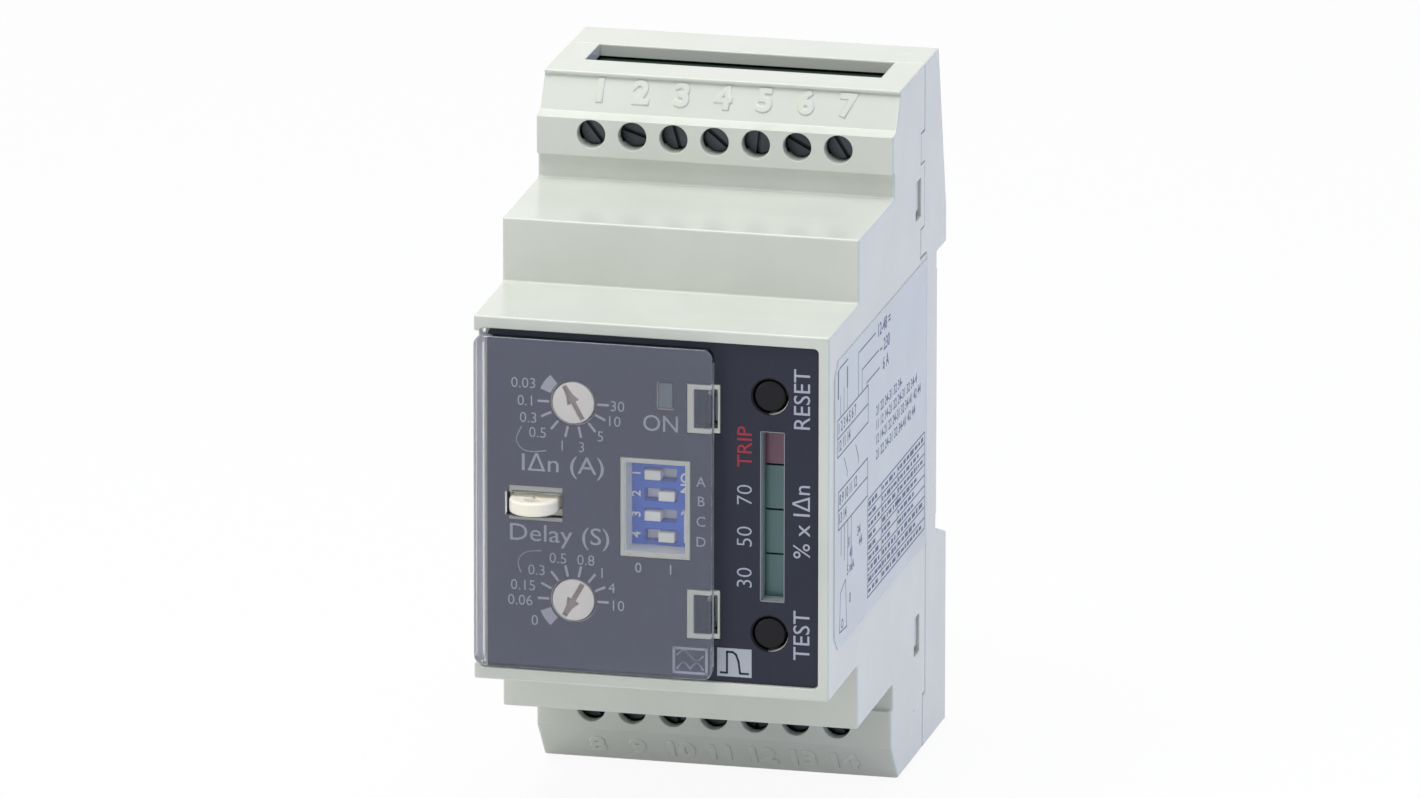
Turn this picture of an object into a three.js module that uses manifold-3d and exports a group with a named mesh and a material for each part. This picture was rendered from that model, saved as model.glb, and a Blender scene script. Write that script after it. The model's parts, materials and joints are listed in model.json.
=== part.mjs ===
// An earth-leakage relay for a 35 mm mounting rail, with its inner parts.
// Millimetres. X runs across the front, Y from the front (-) to the rail (+), Z up.
// The origin is the middle of the face that seats on the rail.
import * as THREE from "three";
import { mergeVertices } from "three/addons/utils/BufferGeometryUtils.js";
import Module from "manifold-3d";

const wasm = await Module();
wasm.setup();

// Housing: a stepped block, the same section all across its width.
const housingWidth = 44;
const housingHeight = 86;
const leftDraft = 0.6;
const seatDepth = 58;
const wall = 1.6;
const frontBlockHeight = 45;
const shoulderRise = 42.5;
const stripHeight = 3.1;
const stripSetback = 0.9;
const holeFaceRise = 24.3;
const holeFaceHeight = 4.7;
const numeralFaceHeight = 4.8;
const topLedgeDepth = 1.9;
const topLedgeRise = 0.3;
const brimRise = 20.4;
const lidThickness = 0.5;
const lidOverhang = 0.4;

// Back: two blocks that stand past the seat, above and below the rail.
const railGap = 35.2;
const railLipThickness = 1;
const railLipPlay = 0.3;
const backDepth = 5.6;
const upperBackTop = 0.5;
const upperBackDepth = 5;
const upperBackKneeRise = 4.4;
const lowerBackFlat = 1.2;
const lowerBackDrop = 1.5;
const hookDrop = 1.5;
const hookThickness = 2;
const hookInset = 1.5;
const seatRelief = 0.3;
const seatReliefMargin = 0.4;

// Parting line of the two shells, with its jogs.
const seamRise = 5.9;
const seamJog = 1.3;
const seamNotchJog = 3.3;
const seamGap = 0.15;
const seamUpperNotchDrop = 8.2;
const seamUpperNotchHeight = 4;
const seamLowerNotchRise = 1.4;
const seamLowerNotchHeight = 3.8;
const seamLowerJogRise = 6.7;

// Clearances and the overrun of every cut.
const fitGap = 0.3;
const runGap = 0.2;
const over = 1;
const circleSteps = 32;
const smallCircleSteps = 20;

// Front plate, in a recess with a narrow rim round it.
const rimWidth = 1.3;
const rimHeight = 1.5;
const plateThickness = 0.4;
const plateSetback = 0.5;
const plateCorner = 0.6;
const plateGap = 0.1;

// Clear cover on a hinge at the left edge.
const coverRightShare = 0.3682;
const coverInset = 0.9;
const coverMargin = 0.6;
const coverThickness = 1.1;
const coverCorner = 1.2;
const coverWindowShift = 0.05;
const coverWindowDrop = 0.1;
const coverWindowWidth = 7;
const coverWindowHeight = 2.8;
const hingeInset = 0.55;
const hingeSetback = 1;
const hingeFlange = 1;
const hingeFlangeReach = 0.4;
const hingePinRadius = 0.4;
const hingePinLength = 1;
const hingeNotchWidth = 1.25;
const hingeNotchReach = 1.1;
const hingeCornerWidth = 0.2;
const hingeCornerReach = 1.5;
const snapInset = 1.6;
const snapHeightShare = 0.6048;
const snapRimWidth = 3.9;
const snapRimShift = 0.15;
const snapRimHeight = 6;
const snapHoleWidth = 2.8;
const snapHoleShift = 0.4;
const snapHoleHeight = 4.8;
const snapTabThickness = 0.65;
const snapTabShift = 0.6;
const snapTabHeight = 4;
const snapTabReach = 3.6;
const snapNub = 0.25;
const snapNubLength = 0.8;

// Sealing lug.
const lugShare = -0.6227;
const lugZ = 0;
const lugWidth = 5.9;
const lugThickness = 1.7;
const lugReach = 2.8;
const lugHoleRadius = 0.9;
const lugWindowShift = 0.15;
const lugWindowDrop = 0.35;
const lugWindowWidth = 6.6;
const lugWindowHeight = 4.3;
const lugFootWidth = 8;
const lugFootHeight = 6.4;
const lugFootThickness = 1;

// Setting dials and the selectors behind them.
const dialShare = -0.4186;
const dialHeightShare = 0.581;
const dialLift = 0.24;
const dialRadius = 2.55;
const dialThickness = 1.9;
const dialStemRadius = 1.4;
const dialStemLength = 3.4;
const arrowLength = 4.6;
const arrowWidth = 0.6;
const arrowHeadWidth = 1.64;
const arrowHeadWaist = 0.84;
const arrowHeadLength = 2;
const arrowDepth = 0.6;
const currentArrowDegrees = 119;
const delayArrowDegrees = 241;
const selectorSize = 9.6;
const selectorCollarRadius = 3.2;
const selectorCollarLength = 0.8;
const stemBoreDepth = 2.4;

// Four-way setting switch.
const wayCount = 4;
const wayPitch = 2.54;
const switchShare = 0.0295;
const switchDrop = 0.5;
const switchWidth = 9.9;
const switchEndMargin = 1.54;
const switchSetback = 3.5;
const windowShift = 0.16;
const windowLift = 0.53;
const windowWidth = 8.5;
const windowHeight = 12.2;
const windowRim = 0.55;
const trackWidth = 3.9;
const trackHeight = 1.5;
const trackDepth = 1.5;
const sliderWidth = 2;
const sliderHeight = 1.2;
const sliderStandOut = 0.7;
const sliderFoot = 1.1;

// Level bar and the lamp above it.
const barShare = 0.6818;
const barWidth = 2.8;
const barEdgeShares = [0.4881, 0.2738, 0.0095, -0.2524, -0.5048];
const barSetback = 2.1;
const lampShare = 0.09;
const lampHeightShare = 0.6667;
const lampWidth = 1.9;
const lampHeight = 3.3;
const lampSetback = 0.3;

// Push buttons and the switches behind them.
const buttonShare = 0.6659;
const buttonHeightShare = 0.6976;
const buttonHoleRadius = 2.2;
const buttonRadius = 1.9;
const buttonSetback = 0.7;
const buttonCollarRadius = 2.7;
const buttonCollarThickness = 0.8;
const buttonStemRadius = 1.4;
const buttonTravel = 0.4;
const pushSwitchSize = 6;
const pushSwitchDepth = 3.5;

// Circuit boards.
const boardThickness = 1.6;
const frontBoardDepth = 11.2;
const frontBoardMargin = 0.5;
const mainBoardSetback = 4.6;
const mainBoardMargin = 0.5;
const bossSize = 2.4;

// Terminals: screws, rising cages and the two blocks that hold them.
const terminalPitch = 5.08;
const screwDrop = 1.9;
const lowerScrewDrop = 2.65;
const screwHoleRadius = 1.75;
const screwHeadRadius = 1.6;
const screwHeadThickness = 1.5;
const screwHeadSetback = 2;
const screwSlotWidth = 0.45;
const screwSlotDepth = 0.7;
const threadRadius = 1.25;
const threadGap = 0.05;
const threadLength = 7.2;
const screwTurnDegrees = [52, 18, 74, 40, 96, 28, 58];
const cageWidth = 4.1;
const cageLength = 8.2;
const cageHeight = 5.4;
const cageFrontWall = 1.2;
const cageSideWall = 0.5;
const cageTravel = 2.25;
const blockFloor = 1;
const blockHeight = 9;
const blockEnd = 0.5;
const wireSlotMargin = 0.52;
const wireSlotLength = 7.6;

// Catches that hold the two shells together.
const upperCatchDrop = 16.15;
const lowerCatchRise = 15.15;
const catchHeight = 4.2;
const catchWindowHeight = 4.8;
const catchWindowLength = 2.9;
const catchWindowLead = 4.7;
const catchThickness = 1.2;
const catchRootLength = 2.6;
const catchNub = 1.6;
const catchNubLength = 2.3;
const catchNubHeight = 3.6;
const catchNubLift = 0.3;

// Rail latch and its spring.
const latchWidth = 13.4;
const latchThickness = 2.8;
const latchRibWidth = 9.4;
const latchRibThickness = 0.7;
const latchLip = 1.7;
const latchTravel = 3.6;
const latchBottomInset = 0.8;
const latchSlotWidth = 5;
const latchSlotHeight = 2;
const latchSlotRise = 2.4;
const latchGrooveFloor = 1.5;
const springWindowWidth = 4.2;
const springShortest = 7.5;
const latchHeadHeight = 5.3;
const springStopHeight = 1.6;
const springRadius = 1.15;
const springWireRadius = 0.2;
const springTurns = 7;
const springStepsPerTurn = 12;
const springWireSides = 6;

// Parts that stand on the main board.
const relayWidth = 10.2;
const relayHeight = 20.2;
const relayDepth = 15.4;
const relayShare = -0.5455;
const relayHeightShare = 0.093;
const transformerWidth = 17;
const transformerHeight = 20;
const transformerDepth = 14;
const transformerShare = 0.3864;
const transformerHeightShare = -0.0698;
const coilWidth = 12;
const coilHeight = 25;
const coilDepth = 11;

// Side label.
const sideLabelThickness = 0.12;
const sideLabelFront = 2.8;
const sideLabelSeamGap = 0.4;
const sideLabelTopMargin = 4.1;
const sideLabelBottomMargin = 5.2;
const sideLabelCut = 1.8;

// Places worked out from the sizes above.
const halfWidth = housingWidth / 2;
const halfHeight = housingHeight / 2;
const halfFront = frontBlockHeight / 2;
const halfRail = railGap / 2;
const holeFaceHigh = halfHeight - numeralFaceHeight;
const holeFaceLow = holeFaceHigh - holeFaceHeight;
const halfShoulder = holeFaceLow - stripHeight;
const innerHalfWidth = halfWidth - wall;
const innerHalfHeight = halfHeight - wall;
const frontY = -seatDepth;
const plateFrontY = frontY + plateSetback;
const recessY = plateFrontY + plateThickness;
const innerFrontY = recessY + wall;
const shoulderY = -shoulderRise;
const holeFaceY = -holeFaceRise;
const seamY = -seamRise;
const outerSeamY = seamY - seamJog;
const notchSeamY = seamY - seamNotchJog;
const upperNotchHigh = halfHeight - seamUpperNotchDrop;
const upperNotchLow = upperNotchHigh - seamUpperNotchHeight;
const lowerNotchLow = halfRail + seamLowerNotchRise;
const lowerNotchHigh = lowerNotchLow + seamLowerNotchHeight;
const seamLowerJog = seamLowerJogRise - halfHeight;
const catchWindowY = outerSeamY - catchWindowLead;
const catchHeights = [halfHeight - upperCatchDrop, lowerCatchRise - halfHeight];
const frontBoardY = frontY + frontBoardDepth;
const mainBoardBackY = -mainBoardSetback;
const mainBoardFrontY = mainBoardBackY - boardThickness;
const coverBackY = frontY - fitGap;
const coverFrontY = coverBackY - coverThickness;
const plateWidth = housingWidth - 2 * rimWidth;
const plateHeight = frontBlockHeight - 2 * rimHeight;
const halfPlate = plateHeight / 2;
const coverHeight = plateHeight - 2 * coverMargin;
const coverLeft = coverInset - halfWidth;
const coverRight = coverRightShare * halfWidth;
const hingeX = coverLeft + hingeInset;
const hingeY = frontY + hingeSetback;
const snapX = coverRight - snapInset;
const snapZ = snapHeightShare * halfPlate;
const lugX = lugShare * halfWidth;
const dialX = dialShare * halfWidth;
const dialHeights = [1, -1].map((side) => dialLift + side * dialHeightShare * halfPlate);
const switchX = switchShare * halfWidth;
const switchZ = -switchDrop;
const windowX = switchX + windowShift;
const windowZ = switchZ + windowLift;
const barX = barShare * halfWidth;
const barEdges = barEdgeShares.map((share) => share * halfPlate);
const lampX = lampShare * halfWidth;
const lampZ = lampHeightShare * halfPlate;
const buttonX = buttonShare * halfWidth;
const buttonZ = buttonHeightShare * halfPlate;
const buttonFrontY = frontY + buttonSetback;
const switchFaceY = plateFrontY + switchSetback;
const terminalRoom = housingWidth - 2 * (wall + fitGap + blockEnd);
const terminalCount = Math.floor(terminalRoom / terminalPitch);
const upperTerminalZ = holeFaceHigh - screwDrop;
const lowerTerminalZ = lowerScrewDrop - holeFaceHigh;
const wireSlotWidth = terminalCount * terminalPitch + 2 * wireSlotMargin;
const screwHeadY = holeFaceY + screwHeadSetback;
const blockFrontY = screwHeadY + screwHeadThickness + runGap;
const blockBackY = mainBoardFrontY - fitGap;
const cageFrontY = blockFrontY + blockFloor + cageTravel + runGap;
const latchFrontY = latchGrooveFloor + fitGap;
const latchBackY = latchFrontY + latchThickness;
const latchTop = -halfRail + latchLip;
const latchBottom = -halfHeight + latchBottomInset;
const springWindowTop = latchTop - latchHeadHeight;
const springStopTop = springWindowTop - springShortest - latchTravel;
const springWindowLow = springStopTop - springStopHeight - fitGap;
const pushSwitchTop = frontBoardY - fitGap - pushSwitchDepth;

// Solids. Each helper returns a closed solid that can be joined and cut.
function toSolid(geometry) {
  geometry.deleteAttribute("normal");
  geometry.deleteAttribute("uv");
  const merged = mergeVertices(geometry);
  const vertProperties = new Float32Array(merged.attributes.position.array);
  const triVerts = new Uint32Array(merged.index.array);
  return new wasm.Manifold(new wasm.Mesh({ numProp: 3, vertProperties, triVerts }));
}

function toGeometry(solid) {
  const mesh = solid.getMesh();
  const geometry = new THREE.BufferGeometry();
  geometry.setAttribute("position", new THREE.BufferAttribute(mesh.vertProperties, 3));
  geometry.setIndex(new THREE.BufferAttribute(mesh.triVerts, 1));
  geometry.computeVertexNormals();
  return geometry;
}

function box([x0, x1], [y0, y1], [z0, z1]) {
  const geometry = new THREE.BoxGeometry(x1 - x0, y1 - y0, z1 - z0);
  return toSolid(geometry.translate((x0 + x1) / 2, (y0 + y1) / 2, (z0 + z1) / 2));
}

function span(centre, length) {
  return [centre - length / 2, centre + length / 2];
}

function cylinderY(x, z, radius, [y0, y1], steps = circleSteps) {
  const geometry = new THREE.CylinderGeometry(radius, radius, y1 - y0, steps);
  return toSolid(geometry.translate(x, (y0 + y1) / 2, z));
}

function cylinderZ(x, y, radius, [z0, z1], steps = smallCircleSteps) {
  const geometry = new THREE.CylinderGeometry(radius, radius, z1 - z0, steps);
  return toSolid(geometry.rotateX(Math.PI / 2).translate(x, y, (z0 + z1) / 2));
}

// A side outline in (y, z), carried across in X.
function sidePrism(points, [x0, x1]) {
  const outline = new THREE.Shape(points.map(([y, z]) => new THREE.Vector2(y, z)));
  const geometry = new THREE.ExtrudeGeometry(outline, { depth: x1 - x0, bevelEnabled: false });
  const across = new THREE.Vector3(1, 0, 0);
  const back = new THREE.Vector3(0, 1, 0);
  const up = new THREE.Vector3(0, 0, 1);
  geometry.applyMatrix4(new THREE.Matrix4().makeBasis(back, up, across));
  return toSolid(geometry.translate(x0, 0, 0));
}

// A front outline in (x, z), carried from y0 back to y1.
function frontPrism(shape, [y0, y1]) {
  const options = { depth: y1 - y0, bevelEnabled: false, curveSegments: 6 };
  const geometry = new THREE.ExtrudeGeometry(shape, options);
  return toSolid(geometry.rotateX(Math.PI / 2).translate(0, y1, 0));
}

// A plan outline in (x, y), carried from z0 up to z1.
function planPrism(shape, [z0, z1]) {
  const options = { depth: z1 - z0, bevelEnabled: false, curveSegments: 8 };
  return toSolid(new THREE.ExtrudeGeometry(shape, options).translate(0, 0, z0));
}

function roundedRectangle([x0, x1], [z0, z1], radius) {
  const shape = new THREE.Shape();
  const quarter = Math.PI / 2;
  shape.absarc(x1 - radius, z0 + radius, radius, -quarter, 0);
  shape.absarc(x1 - radius, z1 - radius, radius, 0, quarter);
  shape.absarc(x0 + radius, z1 - radius, radius, quarter, 2 * quarter);
  shape.absarc(x0 + radius, z0 + radius, radius, 2 * quarter, 3 * quarter);
  return shape;
}

// The outline moved inwards by a wall, for outlines drawn anticlockwise.
function insetOutline(points, distance) {
  const count = points.length;
  const lines = points.map(([y, z], i) => {
    const [nextY, nextZ] = points[(i + 1) % count];
    const length = Math.hypot(nextY - y, nextZ - z);
    const normal = [-(nextZ - z) / length, (nextY - y) / length];
    return { normal, reach: normal[0] * y + normal[1] * z + distance };
  });
  return lines.map((line, i) => {
    const before = lines[(i + count - 1) % count];
    const [a, b] = before.normal;
    const [c, d] = line.normal;
    const scale = a * d - b * c;
    return [(before.reach * d - b * line.reach) / scale, (a * line.reach - before.reach * c) / scale];
  });
}

// The whole housing's side outline, anticlockwise in (y, z) from the front bottom edge.
// The cavity's outline leaves out the undercut below the lid at the top front edge.
function housingOutline(withLid) {
  const stripY = holeFaceY + stripSetback;
  const brimY = -brimRise;
  const lower = [
    [frontY, -halfFront],
    [shoulderY, -halfFront],
    [shoulderY, -halfShoulder],
    [stripY, -halfShoulder],
    [stripY, -holeFaceLow],
    [holeFaceY, -holeFaceLow],
    [holeFaceY, -holeFaceHigh],
    [brimY, -halfHeight],
  ];
  const back = [
    [backDepth, -halfHeight],
    [backDepth, -halfRail - lowerBackDrop],
    [lowerBackFlat, -halfRail],
    [0, -halfRail],
    [0, halfRail],
    [upperBackDepth, halfRail],
    [upperBackDepth, halfRail + upperBackKneeRise],
    [upperBackTop, halfHeight],
  ];
  const lidBottom = halfHeight - lidThickness;
  const lid = withLid ? [[brimY, lidBottom], [brimY + lidOverhang, lidBottom]] : [];
  const upper = [
    [brimY, halfHeight],
    ...lid,
    [holeFaceY + topLedgeDepth, holeFaceHigh + topLedgeRise],
    [holeFaceY, holeFaceHigh],
    [holeFaceY, holeFaceLow],
    [stripY, holeFaceLow],
    [stripY, halfShoulder],
    [shoulderY, halfShoulder],
    [shoulderY, halfFront],
    [frontY, halfFront],
  ];
  return [...lower, ...back, ...upper];
}

// Everything ahead of the parting line, with its steps, grown by a gap on every side.
function aheadOfSeam(gap) {
  const far = halfHeight + over;
  const points = [
    [frontY - over, -far],
    [outerSeamY, -far],
    [outerSeamY, seamLowerJog],
    [seamY, seamLowerJog],
    [seamY, lowerNotchLow],
    [notchSeamY, lowerNotchLow],
    [notchSeamY, lowerNotchHigh],
    [outerSeamY, lowerNotchHigh],
    [outerSeamY, upperNotchLow],
    [notchSeamY, upperNotchLow],
    [notchSeamY, upperNotchHigh],
    [outerSeamY, upperNotchHigh],
    [outerSeamY, far],
    [frontY - over, far],
  ];
  return sidePrism(insetOutline(points, -gap), [-halfWidth - over, halfWidth + over]);
}

// Plan of the housing: the left side leans in from the terminals to the front.
function housingPlan() {
  const corners = [
    [-halfWidth - over, backDepth + over],
    [-halfWidth - over, holeFaceY],
    [-halfWidth, holeFaceY],
    [leftDraft - halfWidth, frontY],
    [leftDraft - halfWidth, frontY - over],
    [halfWidth + over, frontY - over],
    [halfWidth + over, backDepth + over],
  ];
  const plan = new THREE.Shape(corners.map(([x, y]) => new THREE.Vector2(x, y)));
  return planPrism(plan, [-halfHeight - over, halfHeight + over]);
}

const straightSolid = sidePrism(housingOutline(true), [-halfWidth, halfWidth]);
const housingSolid = straightSolid.intersect(housingPlan());
const cavityOutline = insetOutline(housingOutline(false), wall);
const cavitySolid = sidePrism(cavityOutline, [-innerHalfWidth, innerHalfWidth]);

function mirroredPairs(x, z) {
  return [[-x, -z], [x, -z], [-x, z], [x, z]];
}

function terminalPlaces() {
  const places = [];
  for (const side of [1, -1]) {
    for (let i = 0; i < terminalCount; i += 1) {
      const x = (i - (terminalCount - 1) / 2) * terminalPitch;
      const z = side > 0 ? upperTerminalZ : lowerTerminalZ;
      places.push({ x, z, side, index: places.length });
    }
  }
  return places;
}

// Openings through the front wall, shared by the housing and the front plate.
function frontOpenings(margin, depthSpan) {
  const cuts = [];
  for (const z of dialHeights) {
    cuts.push(cylinderY(dialX, z, dialRadius + runGap + margin, depthSpan));
  }
  for (const z of [buttonZ, -buttonZ]) {
    cuts.push(cylinderY(buttonX, z, buttonHoleRadius + margin, depthSpan));
  }
  const bar = [barEdges.at(-1) - margin, barEdges[0] + margin];
  cuts.push(box(span(barX, barWidth + 2 * margin), depthSpan, bar));
  const lamp = span(lampZ, lampHeight + 2 * margin);
  cuts.push(box(span(lampX, lampWidth + 2 * margin), depthSpan, lamp));
  return cuts;
}

function cutAll(solid, cuts) {
  return cuts.reduce((rest, cut) => rest.subtract(cut), solid);
}

function joinAll(solids) {
  return solids.reduce((whole, solid) => whole.add(solid));
}

function makeFrontHousing() {
  let shell = housingSolid.intersect(aheadOfSeam(0));
  const frontCavityWall = box([-halfWidth, halfWidth], [frontY, innerFrontY], [-halfFront, halfFront]);
  shell = shell.subtract(cavitySolid.subtract(frontCavityWall));

  const recess = roundedRectangle(span(0, plateWidth), span(0, plateHeight), plateCorner);
  shell = shell.subtract(frontPrism(recess, [frontY - over, recessY]));
  const rims = [box(span(windowX, windowWidth), [plateFrontY, recessY], span(windowZ, windowHeight))];
  for (const z of [snapZ, -snapZ]) {
    const rimX = span(snapX + snapRimShift, snapRimWidth);
    rims.push(box(rimX, [plateFrontY, recessY], span(z, snapRimHeight)));
  }
  shell = joinAll([shell, ...rims]);

  const through = [frontY - over, innerFrontY + over];
  const cuts = frontOpenings(0, through);
  const inner = [windowWidth - 2 * windowRim, windowHeight - 2 * windowRim];
  cuts.push(box(span(windowX, inner[0]), through, span(windowZ, inner[1])));
  const lugSlot = [span(lugX, lugWidth + 2 * runGap), span(lugZ, lugThickness + 2 * runGap)];
  cuts.push(box(lugSlot[0], through, lugSlot[1]));
  for (const z of [snapZ, -snapZ]) {
    cuts.push(box(span(snapX + snapHoleShift, snapHoleWidth), through, span(z, snapHoleHeight)));
  }
  for (const { x, z } of terminalPlaces()) {
    cuts.push(cylinderY(x, z, screwHoleRadius, [holeFaceY - over, blockFrontY]));
  }
  for (const side of [1, -1]) {
    const height = span(side * (halfHeight - wall / 2), wall + 2 * over);
    cuts.push(box(span(0, wireSlotWidth), [outerSeamY - wireSlotLength, outerSeamY + over], height));
  }
  cuts.push(...hingeCuts(), ...catchWindows());
  return joinAll([cutAll(shell, cuts), ...frontBosses()]);
}

// Notch for the cover's flange in the left rim, and the two holes for its pins.
function hingeCuts() {
  const half = coverHeight / 2 + runGap;
  const notch = [coverLeft - over, coverLeft + hingeNotchWidth];
  const pins = span(0, coverHeight + 2 * (hingePinLength + fitGap));
  const corner = [coverLeft - over, coverLeft + hingeCornerWidth];
  return [
    box(notch, [frontY - over, hingeY + hingeNotchReach], [-half, half]),
    box(corner, [frontY - over, hingeY + hingeCornerReach], [-half, half]),
    cylinderZ(hingeX, hingeY, hingePinRadius + threadGap * 2, pins),
  ];
}

function catchWindows() {
  const windows = [];
  const depth = [catchWindowY, catchWindowY + catchWindowLength];
  for (const z of catchHeights) {
    const height = span(z, catchWindowHeight);
    const sides = box([-halfWidth - over, halfWidth + over], depth, height);
    const middle = box([-innerHalfWidth, innerHalfWidth], depth, height);
    windows.push(sides.subtract(middle));
  }
  return windows;
}

// Four bosses behind the front wall, where the front board seats.
function frontBosses() {
  const x = innerHalfWidth - bossSize / 2;
  const z = halfFront - wall - bossSize / 2;
  const reach = [innerFrontY - threadGap, frontBoardY - fitGap];
  return mirroredPairs(x, z).map(([cx, cz]) => box(span(cx, bossSize), reach, span(cz, bossSize)));
}

function makeRearHousing() {
  const shell = housingSolid.subtract(aheadOfSeam(seamGap)).subtract(cavitySolid);
  const pieces = [shell, rearLatchBlock(), ...rearBosses(), ...rearCatches(), railHook()];
  return cutAll(joinAll(pieces), [...seatReliefs(), ...latchGrooves()]).add(springStop());
}

// Shallow reliefs in the seat behind the hook and behind the latch's lip.
function seatReliefs() {
  const depth = [-seatRelief, over];
  const width = [-halfWidth - over, halfWidth + over];
  const upper = [halfRail - hookDrop - seatReliefMargin, halfRail];
  const lower = [-halfRail, latchTop + seatReliefMargin];
  return [box(width, depth, upper), box(width, depth, lower)];
}

// Solid middle of the lower back block, which the latch runs in.
function rearLatchBlock() {
  const halfBlock = latchWidth / 2 + fitGap + wall;
  const height = [-halfHeight, -halfRail];
  const middle = box([-halfBlock, halfBlock], [-wall, backDepth + over], height);
  return middle.intersect(housingSolid);
}

function latchGrooves() {
  const half = latchWidth / 2 + fitGap;
  const halfRib = latchRibWidth / 2 + fitGap;
  const height = [-halfHeight - over, -halfRail + over];
  return [
    box([-half, half], [latchGrooveFloor, latchBackY + runGap], height),
    box([-halfRib, halfRib], [latchGrooveFloor, backDepth + over], height),
  ];
}

// Stud in the latch's window, which the spring's lower end rests on.
function springStop() {
  const width = span(0, springWindowWidth - 2 * fitGap);
  const reach = [latchGrooveFloor - threadGap, latchBackY - fitGap];
  return box(width, reach, [springStopTop - springStopHeight, springStopTop]);
}

function rearBosses() {
  const x = innerHalfWidth - bossSize / 2;
  const z = innerHalfHeight - 2 * bossSize;
  const places = [...mirroredPairs(x, halfRail - bossSize), [-x, z], [x, z], [-x, -z], [x, -z]];
  return places.map(([cx, cz]) => {
    const post = box(span(cx, bossSize), [mainBoardBackY + fitGap, backDepth], span(cz, bossSize));
    return post.intersect(housingSolid);
  });
}

// Spring tongues of the rear shell, each with a nub that fills part of its window.
function rearCatches() {
  const outer = innerHalfWidth - fitGap;
  const inner = outer - catchThickness;
  const tongues = [];
  for (const side of [-1, 1]) {
    for (const z of catchHeights) {
      const height = span(z, catchHeight);
      const rootY = seamY + seamGap;
      const across = (a, b) => [Math.min(side * a, side * b), Math.max(side * a, side * b)];
      tongues.push(box(across(inner, outer), [catchWindowY, rootY + catchRootLength], height));
      const root = [rootY, rootY + catchRootLength];
      tongues.push(box(across(inner, innerHalfWidth + threadGap), root, height));
      const nub = [catchWindowY + fitGap, catchWindowY + fitGap + catchNubLength];
      const nubHeight = span(z + catchNubLift, catchNubHeight);
      tongues.push(box(across(inner, outer + catchNub), nub, nubHeight));
    }
  }
  return tongues;
}

// Fixed hook behind the rail's upper lip.
function railHook() {
  const half = halfWidth - hookInset;
  const back = [railLipThickness + railLipPlay, railLipThickness + railLipPlay + hookThickness];
  return box([-half, half], back, [halfRail - hookDrop, halfRail + wall / 2]);
}

function makeFrontPlate() {
  const half = [plateWidth / 2 - plateGap, plateHeight / 2 - plateGap];
  const left = coverLeft + hingeNotchWidth + plateGap;
  const outline = roundedRectangle([left, half[0]], [-half[1], half[1]], plateCorner);
  const film = frontPrism(outline, [plateFrontY, recessY]);
  const through = [plateFrontY - over, recessY + over];
  const cuts = frontOpenings(plateGap, through);
  const grow = 2 * plateGap;
  cuts.push(box(span(windowX, windowWidth + grow), through, span(windowZ, windowHeight + grow)));
  const lugWindowX = span(lugX - lugWindowShift, lugWindowWidth);
  cuts.push(box(lugWindowX, through, span(lugZ - lugWindowDrop, lugWindowHeight)));
  for (const z of [snapZ, -snapZ]) {
    const rimX = span(snapX + snapRimShift, snapRimWidth + grow);
    cuts.push(box(rimX, through, span(z, snapRimHeight + grow)));
  }
  return cutAll(film, cuts);
}

function makeClearCover() {
  const outline = roundedRectangle([coverLeft, coverRight], span(0, coverHeight), coverCorner);
  const pane = frontPrism(outline, [coverFrontY, coverBackY]);
  const flangeEnd = hingeY + hingeFlangeReach;
  const strip = box([coverLeft, coverLeft + hingeFlange], [coverFrontY, flangeEnd], span(0, coverHeight));
  const flange = frontPrism(outline, [coverFrontY, flangeEnd]).intersect(strip);
  const pin = cylinderZ(hingeX, hingeY, hingePinRadius, span(0, coverHeight + 2 * hingePinLength));
  const tabs = [];
  for (const z of [snapZ, -snapZ]) {
    const tabX = [snapX + snapTabShift, snapX + snapTabShift + snapTabThickness];
    const tabEnd = coverBackY + snapTabReach;
    tabs.push(box(tabX, [coverBackY - threadGap, tabEnd], span(z, snapTabHeight)));
    const nubX = [tabX[0], tabX[1] + snapNub];
    tabs.push(box(nubX, [tabEnd - snapNubLength, tabEnd], span(z, snapTabHeight)));
  }
  const through = [coverFrontY - over, coverBackY + over];
  const windowSpan = span(lugX - coverWindowShift, coverWindowWidth);
  const window = box(windowSpan, through, span(lugZ - coverWindowDrop, coverWindowHeight));
  return joinAll([pane, flange, pin, ...tabs]).subtract(window);
}

function makeSealLug() {
  const radius = lugWidth / 2;
  const tipY = coverFrontY - lugReach + radius;
  const shape = new THREE.Shape();
  shape.moveTo(lugX + radius, innerFrontY + fitGap + threadGap);
  shape.lineTo(lugX + radius, tipY);
  shape.absarc(lugX, tipY, radius, 0, -Math.PI, true);
  shape.lineTo(lugX - radius, innerFrontY + fitGap + threadGap);
  const tongue = planPrism(shape, span(lugZ, lugThickness));
  const footY = [innerFrontY + fitGap, innerFrontY + fitGap + lugFootThickness];
  const foot = box(span(lugX, lugFootWidth), footY, span(lugZ, lugFootHeight));
  const hole = cylinderZ(lugX, tipY - lugHoleRadius, lugHoleRadius, span(lugZ, lugThickness + over));
  return tongue.add(foot).subtract(hole);
}

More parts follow.
